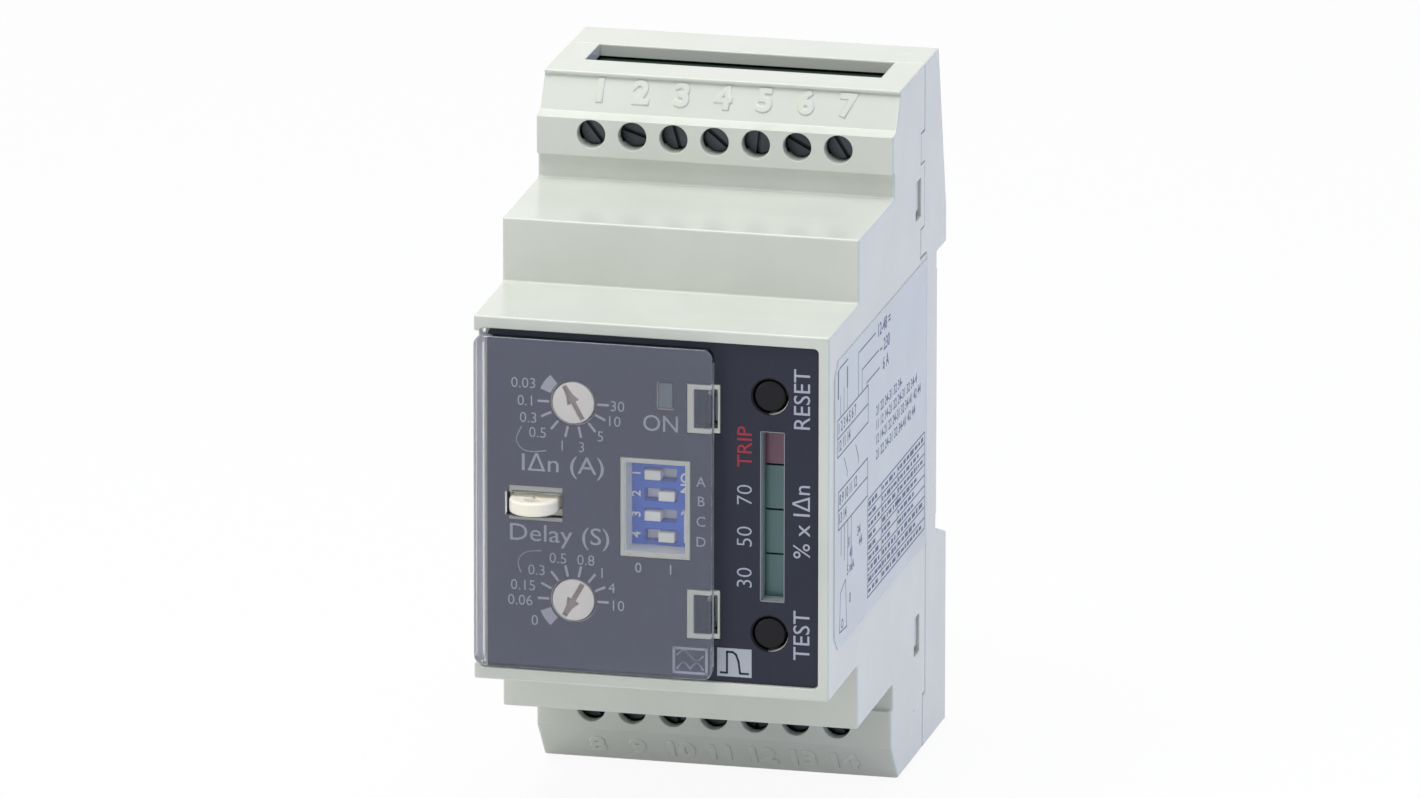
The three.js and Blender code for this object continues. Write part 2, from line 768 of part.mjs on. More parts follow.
// A dial about its own axis, its arrow slot pointing along +X before it is turned.
// The slot runs right across, and its head widens towards the dial's middle.
function makeDial() {
  const knob = cylinderY(0, 0, dialRadius, [plateFrontY, plateFrontY + dialThickness]);
  const stemEnd = plateFrontY + dialThickness + dialStemLength;
  const stem = cylinderY(0, 0, dialStemRadius, [plateFrontY + dialThickness - threadGap, stemEnd]);
  const half = arrowLength / 2;
  const upperHalf = [
    [half, arrowWidth / 2],
    [arrowHeadLength, arrowWidth / 2],
    [arrowHeadLength / 2, arrowHeadWaist / 2],
    [0, arrowHeadWidth / 2],
    [0, arrowWidth / 2],
    [-half, arrowWidth / 2],
  ];
  const lowerHalf = upperHalf.map(([x, z]) => [x, -z]).reverse();
  const arrow = new THREE.Shape([...upperHalf, ...lowerHalf].map(([x, z]) => new THREE.Vector2(x, z)));
  const slot = frontPrism(arrow, [plateFrontY - over, plateFrontY + arrowDepth]);
  return knob.add(stem).subtract(slot);
}

function makeSelectorBody() {
  const bodyFront = plateFrontY + dialThickness + dialStemLength - stemBoreDepth;
  const body = box(span(0, selectorSize), [bodyFront, frontBoardY - fitGap], span(0, selectorSize));
  const collarReach = [bodyFront - selectorCollarLength, bodyFront + threadGap];
  const collar = cylinderY(0, 0, selectorCollarRadius, collarReach);
  const bore = [bodyFront - over, bodyFront + stemBoreDepth + fitGap];
  return body.add(collar).subtract(cylinderY(0, 0, dialStemRadius + threadGap, bore));
}

function wayHeights() {
  const heights = [];
  for (let way = 0; way < wayCount; way += 1) {
    heights.push(switchZ + ((wayCount - 1) / 2 - way) * wayPitch);
  }
  return heights;
}

function makeSwitchBody() {
  const height = (wayCount - 1) * wayPitch + wayPitch + switchEndMargin;
  const body = box(span(switchX, switchWidth), [switchFaceY, frontBoardY - fitGap], span(switchZ, height));
  const depth = [switchFaceY - over, switchFaceY + trackDepth];
  return cutAll(body, wayHeights().map((z) => box(span(switchX, trackWidth), depth, span(z, trackHeight))));
}

function makeSlider() {
  const reach = [switchFaceY - sliderStandOut, switchFaceY + sliderFoot];
  return box(span(0, sliderWidth), reach, span(0, sliderHeight));
}

function makeButton() {
  const capEnd = innerFrontY + fitGap;
  const cap = cylinderY(0, 0, buttonRadius, [buttonFrontY, capEnd + threadGap]);
  const collar = cylinderY(0, 0, buttonCollarRadius, [capEnd, capEnd + buttonCollarThickness]);
  const stem = cylinderY(0, 0, buttonStemRadius, [capEnd, pushSwitchTop - buttonTravel - threadGap]);
  return joinAll([cap, collar, stem]);
}

function makePushSwitch() {
  const bodyReach = [pushSwitchTop + fitGap, frontBoardY - fitGap];
  const body = box(span(0, pushSwitchSize), bodyReach, span(0, pushSwitchSize));
  return body.add(cylinderY(0, 0, buttonStemRadius, [pushSwitchTop, pushSwitchTop + fitGap + threadGap]));
}

function makeFrontBoard() {
  const half = [innerHalfWidth - frontBoardMargin, halfFront - wall - frontBoardMargin];
  return box([-half[0], half[0]], [frontBoardY, frontBoardY + boardThickness], [-half[1], half[1]]);
}

function makeMainBoard() {
  const halfX = innerHalfWidth - catchThickness - 2 * fitGap;
  const halfZ = innerHalfHeight - mainBoardMargin;
  return box([-halfX, halfX], [mainBoardFrontY, mainBoardBackY], [-halfZ, halfZ]);
}

// One block holds seven cages in pockets that open to the wire slot.
function makeTerminalBlock(side) {
  const halfLength = (terminalCount * terminalPitch) / 2 + blockEnd;
  const topZ = innerHalfHeight - fitGap;
  const heightSpan = side > 0 ? [topZ - blockHeight, topZ] : [-topZ, blockHeight - topZ];
  const outline = insetOutline(housingOutline(false), wall + fitGap);
  const room = sidePrism(outline, [-halfLength, halfLength]);
  const block = box([-halfLength, halfLength], [blockFrontY, blockBackY], heightSpan).intersect(room);
  const cuts = [];
  for (const { x, z } of terminalPlaces().filter((place) => place.side === side)) {
    const pocketHeight = span(z, cageHeight + 2 * fitGap);
    const mouth = side > 0 ? [z, topZ + over] : [-topZ - over, z];
    const pocketEnd = cageFrontY + cageLength + fitGap;
    const pocketDepth = [blockFrontY + blockFloor, pocketEnd];
    const pocketWidth = span(x, cageWidth + 2 * runGap);
    const boreReach = [blockFrontY - over, blockFrontY + blockFloor + over];
    cuts.push(box(pocketWidth, pocketDepth, pocketHeight));
    cuts.push(box(pocketWidth, [outerSeamY - wireSlotLength, pocketEnd], mouth));
    cuts.push(cylinderY(x, z, threadRadius + runGap, boreReach));
  }
  return cutAll(block, cuts);
}

function makeScrew(turnDegrees) {
  const headEnd = screwHeadY + screwHeadThickness;
  const head = cylinderY(0, 0, screwHeadRadius, [screwHeadY, headEnd], smallCircleSteps);
  const shaftReach = [headEnd - threadGap, headEnd + threadLength];
  const shaft = cylinderY(0, 0, threadRadius, shaftReach, smallCircleSteps);
  const slotReach = [screwHeadY - over, screwHeadY + screwSlotDepth];
  const slot = box(span(0, 2 * screwHeadRadius + over), slotReach, span(0, screwSlotWidth));
  return head.add(shaft).subtract(slot.rotate([0, turnDegrees, 0]));
}

function makeCage() {
  const outer = box(span(0, cageWidth), [cageFrontY, cageFrontY + cageLength], span(0, cageHeight));
  const opening = [cageFrontY + cageFrontWall, cageFrontY + cageLength - cageFrontWall];
  const inner = box(span(0, cageWidth - 2 * cageSideWall), opening, span(0, cageHeight + over));
  const boreReach = [cageFrontY - over, cageFrontY + cageFrontWall + over];
  const bore = cylinderY(0, 0, threadRadius + threadGap, boreReach, smallCircleSteps);
  return outer.subtract(inner).subtract(bore);
}

function makeLatch() {
  const plate = box(span(0, latchWidth), [latchFrontY, latchBackY], [latchBottom, latchTop]);
  const ribDepth = [latchBackY - threadGap, latchBackY + latchRibThickness];
  const rib = box(span(0, latchRibWidth), ribDepth, [latchBottom, -halfRail - lowerBackDrop]);
  const through = [latchFrontY - over, latchBackY + latchRibThickness + over];
  const slotLow = latchBottom + latchSlotRise;
  const slot = box(span(0, latchSlotWidth), through, [slotLow, slotLow + latchSlotHeight]);
  const window = box(span(0, springWindowWidth), through, [springWindowLow, springWindowTop]);
  return plate.add(rib).subtract(slot).subtract(window);
}

// The wire's centre line, from the stud up to the top of the latch's window.
class SpringCurve extends THREE.Curve {
  getPoint(share, target = new THREE.Vector3()) {
    const low = springStopTop + springWireRadius + fitGap;
    const high = springWindowTop - springWireRadius - fitGap;
    const angle = share * springTurns * 2 * Math.PI;
    const y = latchFrontY + latchThickness / 2 + springRadius * Math.sin(angle);
    return target.set(springRadius * Math.cos(angle), y, low + share * (high - low));
  }
}

function makeLatchSpring() {
  const section = new THREE.Shape();
  section.absarc(0, 0, springWireRadius, 0, 2 * Math.PI);
  const steps = springTurns * springStepsPerTurn;
  const path = new SpringCurve();
  const options = { steps, extrudePath: path, curveSegments: springWireSides / 2 };
  const turnRise = (path.getPoint(1).z - path.getPoint(0).z) / springTurns;
  const coilGap = turnRise - 2 * springWireRadius;
  console.log(`latch spring: least gap between turns ${coilGap.toFixed(2)} mm`);
  return toSolid(new THREE.ExtrudeGeometry(section, options));
}

function makeOutputRelay() {
  const back = mainBoardFrontY - fitGap;
  const x = relayShare * halfWidth;
  const z = relayHeightShare * halfHeight;
  return box(span(x, relayWidth), [back - relayDepth, back], span(z, relayHeight));
}

// A laminated core with the wound bobbin showing above and below it.
function makeTransformer() {
  const back = mainBoardFrontY - fitGap;
  const x = transformerShare * halfWidth;
  const z = transformerHeightShare * halfHeight;
  const core = box(span(x, transformerWidth), [back - transformerDepth, back], span(z, transformerHeight));
  const middle = back - transformerDepth / 2;
  const coil = box(span(x, coilWidth), span(middle, coilDepth), span(z, coilHeight));
  return core.add(coil);
}

function makeSideLabel() {
  const front = frontY + sideLabelFront;
  const back = seamY - sideLabelSeamGap;
  const low = sideLabelBottomMargin - halfFront;
  const high = halfFront - sideLabelTopMargin;
  const points = [
    [front, low + sideLabelCut],
    [front + sideLabelCut, low],
    [back, low],
    [back, high],
    [front + sideLabelCut, high],
    [front, high - sideLabelCut],
  ];
  return sidePrism(points, [halfWidth, halfWidth + sideLabelThickness]);
}

// Materials by name: colour, roughness, metalness.
const finishes = {
  housing: ["#c9cdc4", 0.45, 0],
  plate: ["#33353f", 0.5, 0],
  clear: ["#c8d4dc", 0.1, 0],
  ivory: ["#e8dfc6", 0.4, 0],
  dial: ["#dcd9d4", 0.45, 0],
  blue: ["#3a63b8", 0.5, 0],
  white: ["#e6e6e2", 0.5, 0],
  black: ["#1c1c1e", 0.4, 0],
  block: ["#24302c", 0.5, 0],
  green: ["#4c6e72", 0.3, 0],
  red: ["#7a4a62", 0.3, 0],
  board: ["#2f6a44", 0.5, 0],
  steel: ["#8a8d92", 0.35, 0.9],
  brass: ["#b59a55", 0.4, 0.9],
  paper: ["#cdd6e4", 0.6, 0],
};

const relay = new THREE.Group();

function place(name, solid, finish, position = [0, 0, 0], turnDegrees = 0) {
  const [color, roughness, metalness] = finishes[finish];
  const geometry = solid.isBufferGeometry ? solid : toGeometry(solid);
  const mesh = new THREE.Mesh(geometry, new THREE.MeshStandardMaterial({ color, roughness, metalness }));
  mesh.name = name;
  mesh.position.set(...position);
  mesh.rotation.y = -THREE.MathUtils.degToRad(turnDegrees);
  relay.add(mesh);
}

place("front_housing", makeFrontHousing(), "housing");
place("rear_housing", makeRearHousing(), "housing");
place("front_plate", makeFrontPlate(), "plate");
place("side_label", makeSideLabel(), "paper");
place("clear_cover", makeClearCover(), "clear");
place("seal_lug", makeSealLug(), "ivory");
place("current_dial", makeDial(), "dial", [dialX, 0, dialHeights[0]], currentArrowDegrees);
place("delay_dial", makeDial(), "dial", [dialX, 0, dialHeights.at(-1)], delayArrowDegrees);
place("current_selector_body", makeSelectorBody(), "black", [dialX, 0, dialHeights[0]]);
place("delay_selector_body", makeSelectorBody(), "black", [dialX, 0, dialHeights.at(-1)]);
place("setting_switch_body", makeSwitchBody(), "blue");

wayHeights().forEach((z, way) => {
  const side = way % 2 === 0 ? -1 : 1;
  const x = switchX + (side * (trackWidth - sliderWidth - runGap)) / 2;
  place(`setting_slider_${"abcd"[way]}`, makeSlider(), "white", [x, 0, z]);
});

place("reset_button", makeButton(), "black", [buttonX, 0, buttonZ]);
place("test_button", makeButton(), "black", [buttonX, 0, -buttonZ]);
place("reset_switch_body", makePushSwitch(), "black", [buttonX, 0, buttonZ]);
place("test_switch_body", makePushSwitch(), "black", [buttonX, 0, -buttonZ]);

const lampEnd = frontBoardY - fitGap;
const lampWide = span(lampX, lampWidth - 2 * plateGap);
const lampTall = span(lampZ, lampHeight - 2 * plateGap);
place("on_lamp", box(lampWide, [plateFrontY + lampSetback, lampEnd], lampTall), "green");
["trip_lamp", "level_70_lamp", "level_50_lamp", "level_30_lamp"].forEach((name, i) => {
  const height = [barEdges[i + 1] + plateGap, barEdges[i] - plateGap];
  const segment = box(span(barX, barWidth - 2 * plateGap), [plateFrontY + barSetback, lampEnd], height);
  place(name, segment, i === 0 ? "red" : "green");
});

place("front_board", makeFrontBoard(), "board");
place("main_board", makeMainBoard(), "board");
place("output_relay", makeOutputRelay(), "blue");
place("transformer", makeTransformer(), "steel");
place("upper_terminal_block", makeTerminalBlock(1), "block");
place("lower_terminal_block", makeTerminalBlock(-1), "block");

for (const { x, z, index } of terminalPlaces()) {
  const number = String(index + 1).padStart(2, "0");
  const turn = screwTurnDegrees[index % screwTurnDegrees.length];
  place(`terminal_screw_${number}`, makeScrew(turn), "steel", [x, 0, z]);
  place(`clamp_cage_${number}`, makeCage(), "brass", [x, 0, z]);
}

place("rail_latch", makeLatch(), "black");
place("latch_spring", makeLatchSpring(), "steel");

export default relay;
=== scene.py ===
# %% [markdown]
# An earth-leakage relay for a mounting rail, dressed for a product photograph. This script gives
# the pieces rounded edges, surface finish and print, and never moves them.

# %% Load the model
import bmesh
import bpy
import json
import math
import random
from mathutils import Matrix, Vector

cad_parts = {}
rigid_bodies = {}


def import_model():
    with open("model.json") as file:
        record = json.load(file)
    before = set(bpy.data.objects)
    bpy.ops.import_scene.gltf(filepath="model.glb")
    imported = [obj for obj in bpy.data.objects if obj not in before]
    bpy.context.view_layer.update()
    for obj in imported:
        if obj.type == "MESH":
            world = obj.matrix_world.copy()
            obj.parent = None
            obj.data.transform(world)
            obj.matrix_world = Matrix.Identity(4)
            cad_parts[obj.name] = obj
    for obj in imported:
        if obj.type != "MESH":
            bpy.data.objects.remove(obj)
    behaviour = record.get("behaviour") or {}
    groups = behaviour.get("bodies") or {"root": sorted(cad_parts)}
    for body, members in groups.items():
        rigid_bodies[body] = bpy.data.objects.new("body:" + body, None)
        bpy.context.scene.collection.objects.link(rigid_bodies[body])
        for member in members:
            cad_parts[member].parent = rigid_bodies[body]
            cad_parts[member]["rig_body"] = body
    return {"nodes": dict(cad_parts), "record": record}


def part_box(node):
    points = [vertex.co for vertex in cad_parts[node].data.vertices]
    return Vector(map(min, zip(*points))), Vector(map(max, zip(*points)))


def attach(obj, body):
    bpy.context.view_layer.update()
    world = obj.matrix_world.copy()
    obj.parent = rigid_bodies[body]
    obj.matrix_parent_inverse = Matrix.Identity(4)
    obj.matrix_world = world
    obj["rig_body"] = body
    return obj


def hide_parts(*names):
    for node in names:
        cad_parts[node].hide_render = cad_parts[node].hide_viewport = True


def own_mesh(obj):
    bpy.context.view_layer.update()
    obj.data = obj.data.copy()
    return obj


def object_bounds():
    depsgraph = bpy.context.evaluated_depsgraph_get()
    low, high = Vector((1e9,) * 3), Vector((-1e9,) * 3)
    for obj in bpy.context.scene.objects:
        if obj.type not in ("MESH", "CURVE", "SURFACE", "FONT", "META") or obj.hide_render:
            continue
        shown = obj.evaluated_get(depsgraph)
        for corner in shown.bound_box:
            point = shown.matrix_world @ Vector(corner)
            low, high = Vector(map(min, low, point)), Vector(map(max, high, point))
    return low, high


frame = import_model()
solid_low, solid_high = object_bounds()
scene = bpy.context.scene
mm = 0.001
housing_low, housing_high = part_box("front_housing")


def add_object(name, data):
    """A new object in the scene that holds this mesh, curve, lamp or camera."""
    thing = bpy.data.objects.new(name, data)
    scene.collection.objects.link(thing)
    return thing


def middle_of(node):
    low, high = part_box(node)
    return (low + high) / 2


print("pieces:", len(frame["nodes"]), "height in mm:", round((solid_high.z - solid_low.z) / mm, 1))

# %% [markdown]
# The photograph was taken from far away with a long lens, a little from the right and from above.
# The camera is described the way a photographer would: where the lens points, how far away it
# stands, and how the object sits in the picture. A long lens keeps parallel edges parallel.

# %% Camera
picture_width_px = 1420
focal_px = 20000
far_away = 10
turn, tilt, roll = math.radians(-13.349), math.radians(15.806), math.radians(0.075)
object_in_view = Vector((-7.31, 2376.6, -13.04)) * mm
front_face = Vector((0, housing_low.y, 0))

to_view = Matrix.Rotation(roll, 3, "Y") @ Matrix.Rotation(tilt, 3, "X") @ Matrix.Rotation(turn, 3, "Z")
from_view = to_view.transposed()
camera_data = bpy.data.cameras.new("camera")
camera_data.sensor_width = 36
camera_data.lens = camera_data.sensor_width * focal_px / picture_width_px
camera_data.clip_end = far_away
camera = add_object("camera", camera_data)
camera.location = front_face - from_view @ object_in_view
axes = (from_view @ Vector((1, 0, 0)), from_view @ Vector((0, 0, 1)), from_view @ Vector((0, -1, 0)))
camera.rotation_euler = Matrix(axes).transposed().to_euler()
scene.camera = camera
print("camera at, in m:", [round(value, 3) for value in camera.location])

# %% [markdown]
# Studio light: a broad soft light above, a cooler one on the right and a small one on the left. Each
# is a square lamp that looks at the object, given by its place, size, power and colour.

# %% Lamps
def soft_light(name, place, size, watts, colour):
    lamp = bpy.data.lights.new(name, "AREA")
    lamp.shape = "SQUARE"
    lamp.size = size
    lamp.energy = watts
    lamp.color = colour
    holder = add_object(name, lamp)
    holder.location = place
    holder.rotation_euler = (-Vector(place)).to_track_quat("-Z", "Y").to_euler()


soft_light("light_above", (-0.1, -0.2, 0.9), 0.7, 7.6, (1.0, 1.0, 0.97))
soft_light("light_right", (0.9, -0.05, 0.1), 0.7, 3.1, (0.14, 0.28, 1.0))
soft_light("light_left", (-0.5, -0.6, 0.0), 0.4, 1.3, (0.98, 1.0, 1.0))
print("lights:", [light.name for light in bpy.data.lights])

# %% [markdown]
# Room, floor and finishes are all trees of nodes, and a few helpers build them. An input of a node
# gets either a plain value or the output of another node, whichever is given.

# %% Helpers for trees of nodes
def set_input(tree, socket, value):
    if isinstance(value, bpy.types.NodeSocket):
        tree.links.new(value, socket)
    else:
        socket.default_value = value


def set_inputs(tree, node, **inputs):
    """Sets or links inputs by name, with _ in place of a space."""
    for name, value in inputs.items():
        set_input(tree, node.inputs[name.replace("_", " ")], value)


def add_node(tree, kind, **inputs):
    node = tree.nodes.new(kind)
    set_inputs(tree, node, **inputs)
    return node


def add_sum(tree, operation, first, second):
    """The result of one sum on two values."""
    node = tree.nodes.new("ShaderNodeMath")
    node.operation = operation
    set_input(tree, node.inputs[0], first)
    set_input(tree, node.inputs[1], second)
    return node.outputs[0]


print("node helpers are ready for", bpy.app.version_string)

# %% [markdown]
# The room and the floor are white to the camera, but a plain white world would also light the
# object. A light path tells both kinds of ray apart: the camera, mirrors and glass see white, and
# rays that light things see a dimmer room and a grey floor, which can take a shadow.

# %% White room and floor
room_strength = 0.46
paper_white_share = 0.93
paper_size = 6
floor_gap = 0.5 * mm


def seen_directly(tree):
    """A value that is 1 for camera, mirror and glass rays, and 0 for rays that light things."""
    path = tree.nodes.new("ShaderNodeLightPath").outputs
    camera_or_mirror = add_sum(tree, "MAXIMUM", path["Is Camera Ray"], path["Is Glossy Ray"])
    return add_sum(tree, "MAXIMUM", camera_or_mirror, path["Is Transmission Ray"])


def mix_by_ray(tree, out_kind, lit, seen, share=1.0):
    """Uses one shader to light things, and shows the camera this share of the other."""
    mix = add_node(tree, "ShaderNodeMixShader", Fac=add_sum(tree, "MULTIPLY", seen_directly(tree), share))
    tree.links.new(lit.outputs[0], mix.inputs[1])
    tree.links.new(seen.outputs[0], mix.inputs[2])
    add_node(tree, out_kind, Surface=mix.outputs[0])


room = bpy.data.worlds.new("room")
scene.world = room
floor_paper = bpy.data.materials.new("floor_paper")
for holder in (room, floor_paper):
    holder.use_nodes = True
    holder.node_tree.nodes.clear()
room_light = add_node(room.node_tree, "ShaderNodeBackground", Color=(0.95, 0.98, 1.0, 1),
                      Strength=room_strength)
room_white = add_node(room.node_tree, "ShaderNodeBackground", Color=(1, 1, 1, 1))
mix_by_ray(room.node_tree, "ShaderNodeOutputWorld", room_light, room_white)
paper_lit = add_node(floor_paper.node_tree, "ShaderNodeBsdfDiffuse", Color=(0.8, 0.8, 0.8, 1))
paper_glow = add_node(floor_paper.node_tree, "ShaderNodeEmission")
mix_by_ray(floor_paper.node_tree, "ShaderNodeOutputMaterial", paper_lit, paper_glow, paper_white_share)

bpy.ops.mesh.primitive_plane_add(size=paper_size, location=(0, 0, solid_low.z - floor_gap))
floor = bpy.context.object
floor.name = "floor"
floor.data.materials.append(floor_paper)
scene.view_settings.view_transform = "Standard"
print("floor at z in mm:", round(floor.location.z / mm, 2))

# %% [markdown]
# Finishes. Moulded plastic is never one flat colour: it has a fine spark-eroded grain that breaks up
# the highlight, and its colour drifts a little with the wall behind it. Every finish here is built
# by one helper from the same few ingredients, at a scale given in millimetres.

# %% Moulded finishes
drift_scale = 90
grain_depth = 0.03 * mm
gloss_spread = 0.15


def finish(name, colour, roughness, grain_mm=0.25, bump=0.12, drift=0.035, coat=0.0, **sockets):
    """A Principled material with fine grain, slow colour drift and uneven gloss."""
    material = bpy.data.materials.new(name)
    material.use_nodes = True
    tree = material.node_tree
    place = tree.nodes.new("ShaderNodeTexCoord").outputs["Object"]
    grain = add_node(tree, "ShaderNodeTexNoise", Vector=place, Scale=1 / (grain_mm * mm), Detail=3)
    slow = add_node(tree, "ShaderNodeTexNoise", Vector=place, Scale=drift_scale, Detail=4)
    tone = add_node(tree, "ShaderNodeMapRange", Value=slow.outputs["Fac"], From_Min=0.3, From_Max=0.7,
                    To_Min=1 - drift, To_Max=1 + drift)
    tint = tree.nodes.new("ShaderNodeVectorMath")
    tint.operation = "SCALE"
    set_inputs(tree, tint, Vector=colour, Scale=tone.outputs[0])
    gloss = add_node(tree, "ShaderNodeMapRange", Value=grain.outputs["Fac"],
                     To_Min=roughness * (1 - gloss_spread), To_Max=roughness * (1 + gloss_spread))
    relief = add_node(tree, "ShaderNodeBump", Height=grain.outputs["Fac"], Strength=bump,
                      Distance=grain_depth)
    set_inputs(tree, tree.nodes["Principled BSDF"], Base_Color=tint.outputs[0], Roughness=gloss.outputs[0],
               Normal=relief.outputs[0], Coat_Weight=coat, **sockets)
    return material


print("grain depth in mm:", grain_depth / mm)

# %% [markdown]
# The plastics, metals, inks and lenses of this relay. Each has a colour, a roughness and the size of
# its grain. The ink films and the dark front film reflect less than bare plastic does.

# %% Finishes of the relay
housing_plastic = finish("housing_plastic", (0.62, 0.64, 0.58), 0.2, grain_mm=0.3, bump=0.05)
plate_film = finish("plate_film", (0.026, 0.029, 0.047), 0.45, grain_mm=0.12, bump=0.15, drift=0.06,
                    Specular_IOR_Level=0.2)
label_paper = finish("label_paper", (0.7, 0.72, 0.67), 0.5, grain_mm=0.2, bump=0.15, Specular_IOR_Level=0.3)
ivory_plastic = finish("ivory_plastic", (0.9, 0.85, 0.72), 0.35, grain_mm=0.4, bump=0.08)
blue_plastic = finish("blue_plastic", (0.025, 0.13, 0.7), 0.4, grain_mm=0.15)
white_plastic = finish("white_plastic", (0.94, 0.95, 0.93), 0.4, grain_mm=0.15)
black_plastic = finish("black_plastic", (0.013, 0.013, 0.016), 0.3, grain_mm=0.2, Specular_IOR_Level=0.15)
well_plastic = finish("well_plastic", (0.26, 0.29, 0.31), 0.4, grain_mm=0.2, Specular_IOR_Level=0.3)
terminal_plastic = finish("terminal_plastic", (0.02, 0.035, 0.028), 0.45, grain_mm=0.25)
board_resin = finish("board_resin", (0.02, 0.12, 0.045), 0.35, grain_mm=0.6)
relay_case = finish("relay_case", (0.02, 0.05, 0.2), 0.3, grain_mm=0.4)
core_steel = finish("core_steel", (0.2, 0.2, 0.21), 0.4, grain_mm=0.3, Metallic=0.9)
# The screw steel is painted dark: its low colour stands in for the dark reflections and shade that the screws
# show deep in their holes.
screw_steel_painted_dark = finish("screw_steel_painted_dark", (0.06, 0.065, 0.075), 0.32, grain_mm=0.18, bump=0.5, drift=0.3,
                     Metallic=1.0)
spring_steel = finish("spring_steel", (0.5, 0.5, 0.5), 0.25, grain_mm=0.1, bump=0.2, Metallic=1.0)
cage_metal = finish("cage_metal", (0.62, 0.5, 0.26), 0.3, grain_mm=0.15, bump=0.2, Metallic=1.0)
white_ink = finish("white_ink", (0.38, 0.39, 0.48), 0.5, grain_mm=0.08, bump=0.3, drift=0.08)
red_ink = finish("red_ink", (0.33, 0.012, 0.035), 0.5, grain_mm=0.08, bump=0.3, drift=0.08)
grey_ink = finish("grey_ink", (0.15, 0.165, 0.23), 0.6, grain_mm=0.08, bump=0.2, drift=0.1,
                  Specular_IOR_Level=0.2)
sign_ground_ink = finish("sign_ground_ink", (0.4, 0.43, 0.48), 0.5, grain_mm=0.08, bump=0.2, drift=0.06)
switch_ink = finish("switch_ink", (0.86, 0.89, 0.95), 0.5, grain_mm=0.08, bump=0.2)
# A pale opaque finish that paints the light scattered in the cover's cut edge and flange.
painted_edge_light = finish("painted_edge_light", (0.62, 0.62, 0.74), 0.5, grain_mm=0.3, bump=0.1)
lens_look = {"roughness": 0.25, "grain_mm": 0.5, "bump": 0.05, "coat": 0.4}
green_lens = finish("green_lens", (0.07, 0.16, 0.165), **lens_look)
on_lens = finish("on_lens", (0.09, 0.125, 0.145), **lens_look)
red_lens = finish("red_lens", (0.17, 0.065, 0.11), **lens_look)
clear_plastic = finish("clear_plastic", (0.985, 0.99, 0.99), 0.05, grain_mm=1.5, bump=0.02, drift=0.008,
                       Transmission_Weight=1.0, IOR=1.7, Specular_Tint=(0.72, 0.77, 1.0, 1))
print("finishes:", len(bpy.data.materials))

# %% [markdown]
# The dial is moulded in off-white. Its arrow slot gets a painted brownish shade: the depth below the face
# decides the colour, so the slot darkens by itself.

# %% Dial finish with painted shade in its slot
def slotted_finish(name, face_colour, slot_shade_colour, face_y, slot_depth):
    """A moulded finish that changes to a painted shade colour from the face down to the slot's floor."""
    material = finish(name, face_colour, 0.4, grain_mm=0.2)
    tree = material.node_tree
    shader = tree.nodes["Principled BSDF"]
    plain = shader.inputs["Base Color"].links[0].from_socket
    place = tree.nodes.new("ShaderNodeTexCoord")
    split = add_node(tree, "ShaderNodeSeparateXYZ", Vector=place.outputs["Object"])
    depth = add_node(tree, "ShaderNodeMapRange", Value=split.outputs["Y"],
                     From_Min=face_y + 0.1 * slot_depth, From_Max=face_y + slot_depth)
    mix = tree.nodes.new("ShaderNodeMix")
    mix.data_type = "RGBA"
    set_inputs(tree, mix, A=plain, B=(*slot_shade_colour, 1), Factor=depth.outputs[0])
    set_inputs(tree, shader, Base_Color=mix.outputs["Result"])
    return material


dial_low, dial_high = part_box("current_dial")
arrow_depth = 0.6 * mm
# The dial's slot colour is painted shade that deepens towards the slot's floor.
dial_plastic = slotted_finish("dial_plastic", (0.9, 0.86, 0.84), (0.4, 0.31, 0.27), dial_low.y, arrow_depth)
print("dial diameter in mm:", round((dial_high.x - dial_low.x) / mm, 2))

# %% [markdown]
# A solid from CAD is all triangles. Rounding works best on whole flat faces, so the triangles of
# each flat face are merged. A face with a hole in it can't be one polygon: it is first cut in two
# through the middle of each hole, and those cuts are kept when the rest is merged.

# %% Flat faces and their borders
flat_angle = math.radians(1)


def flat_regions(build):
    """Numbers the faces so that those that lie flat against each other share a number."""
    region = {}
    for seed in build.faces:
        if seed in region:
            continue
        stack, number = [seed], len(region)
        region[seed] = number
        while stack:
            for edge in stack.pop().edges:
                if len(edge.link_faces) == 2 and edge.calc_face_angle() < flat_angle:
                    fresh = [face for face in edge.link_faces if face not in region]
                    for face in fresh:
                        region[face] = number
                    stack += fresh
    return region


def border_loops(faces, region, number):
    """The closed borders of one flat region, each as the points it runs through."""
    links = {}
    for face in faces:
        for edge in face.edges:
            if any(region[other] != number for other in edge.link_faces):
                first, second = edge.verts
                links.setdefault(first, set()).add(second)
                links.setdefault(second, set()).add(first)
    loops, seen = [], set()
    for start in links:
        if start in seen:
            continue
        stack, loop = [start], []
        seen.add(start)
        while stack:
            vert = stack.pop()
            loop.append(vert.co.copy())
            fresh = links[vert] - seen
            seen |= fresh
            stack += fresh
        loops.append(loop)
    return loops


print("faces count as one flat face below, in degrees:", round(math.degrees(flat_angle), 1))

# %% [markdown]
# The middle of each hole gives one cut, straight across its flat face. The cuts are marked as seams
# while the triangles are merged, so that no face is left with a hole inside it.

# %% Cuts through holes, and merged faces
weld_distance = 0.002 * mm
cut_tolerance = 1e-8


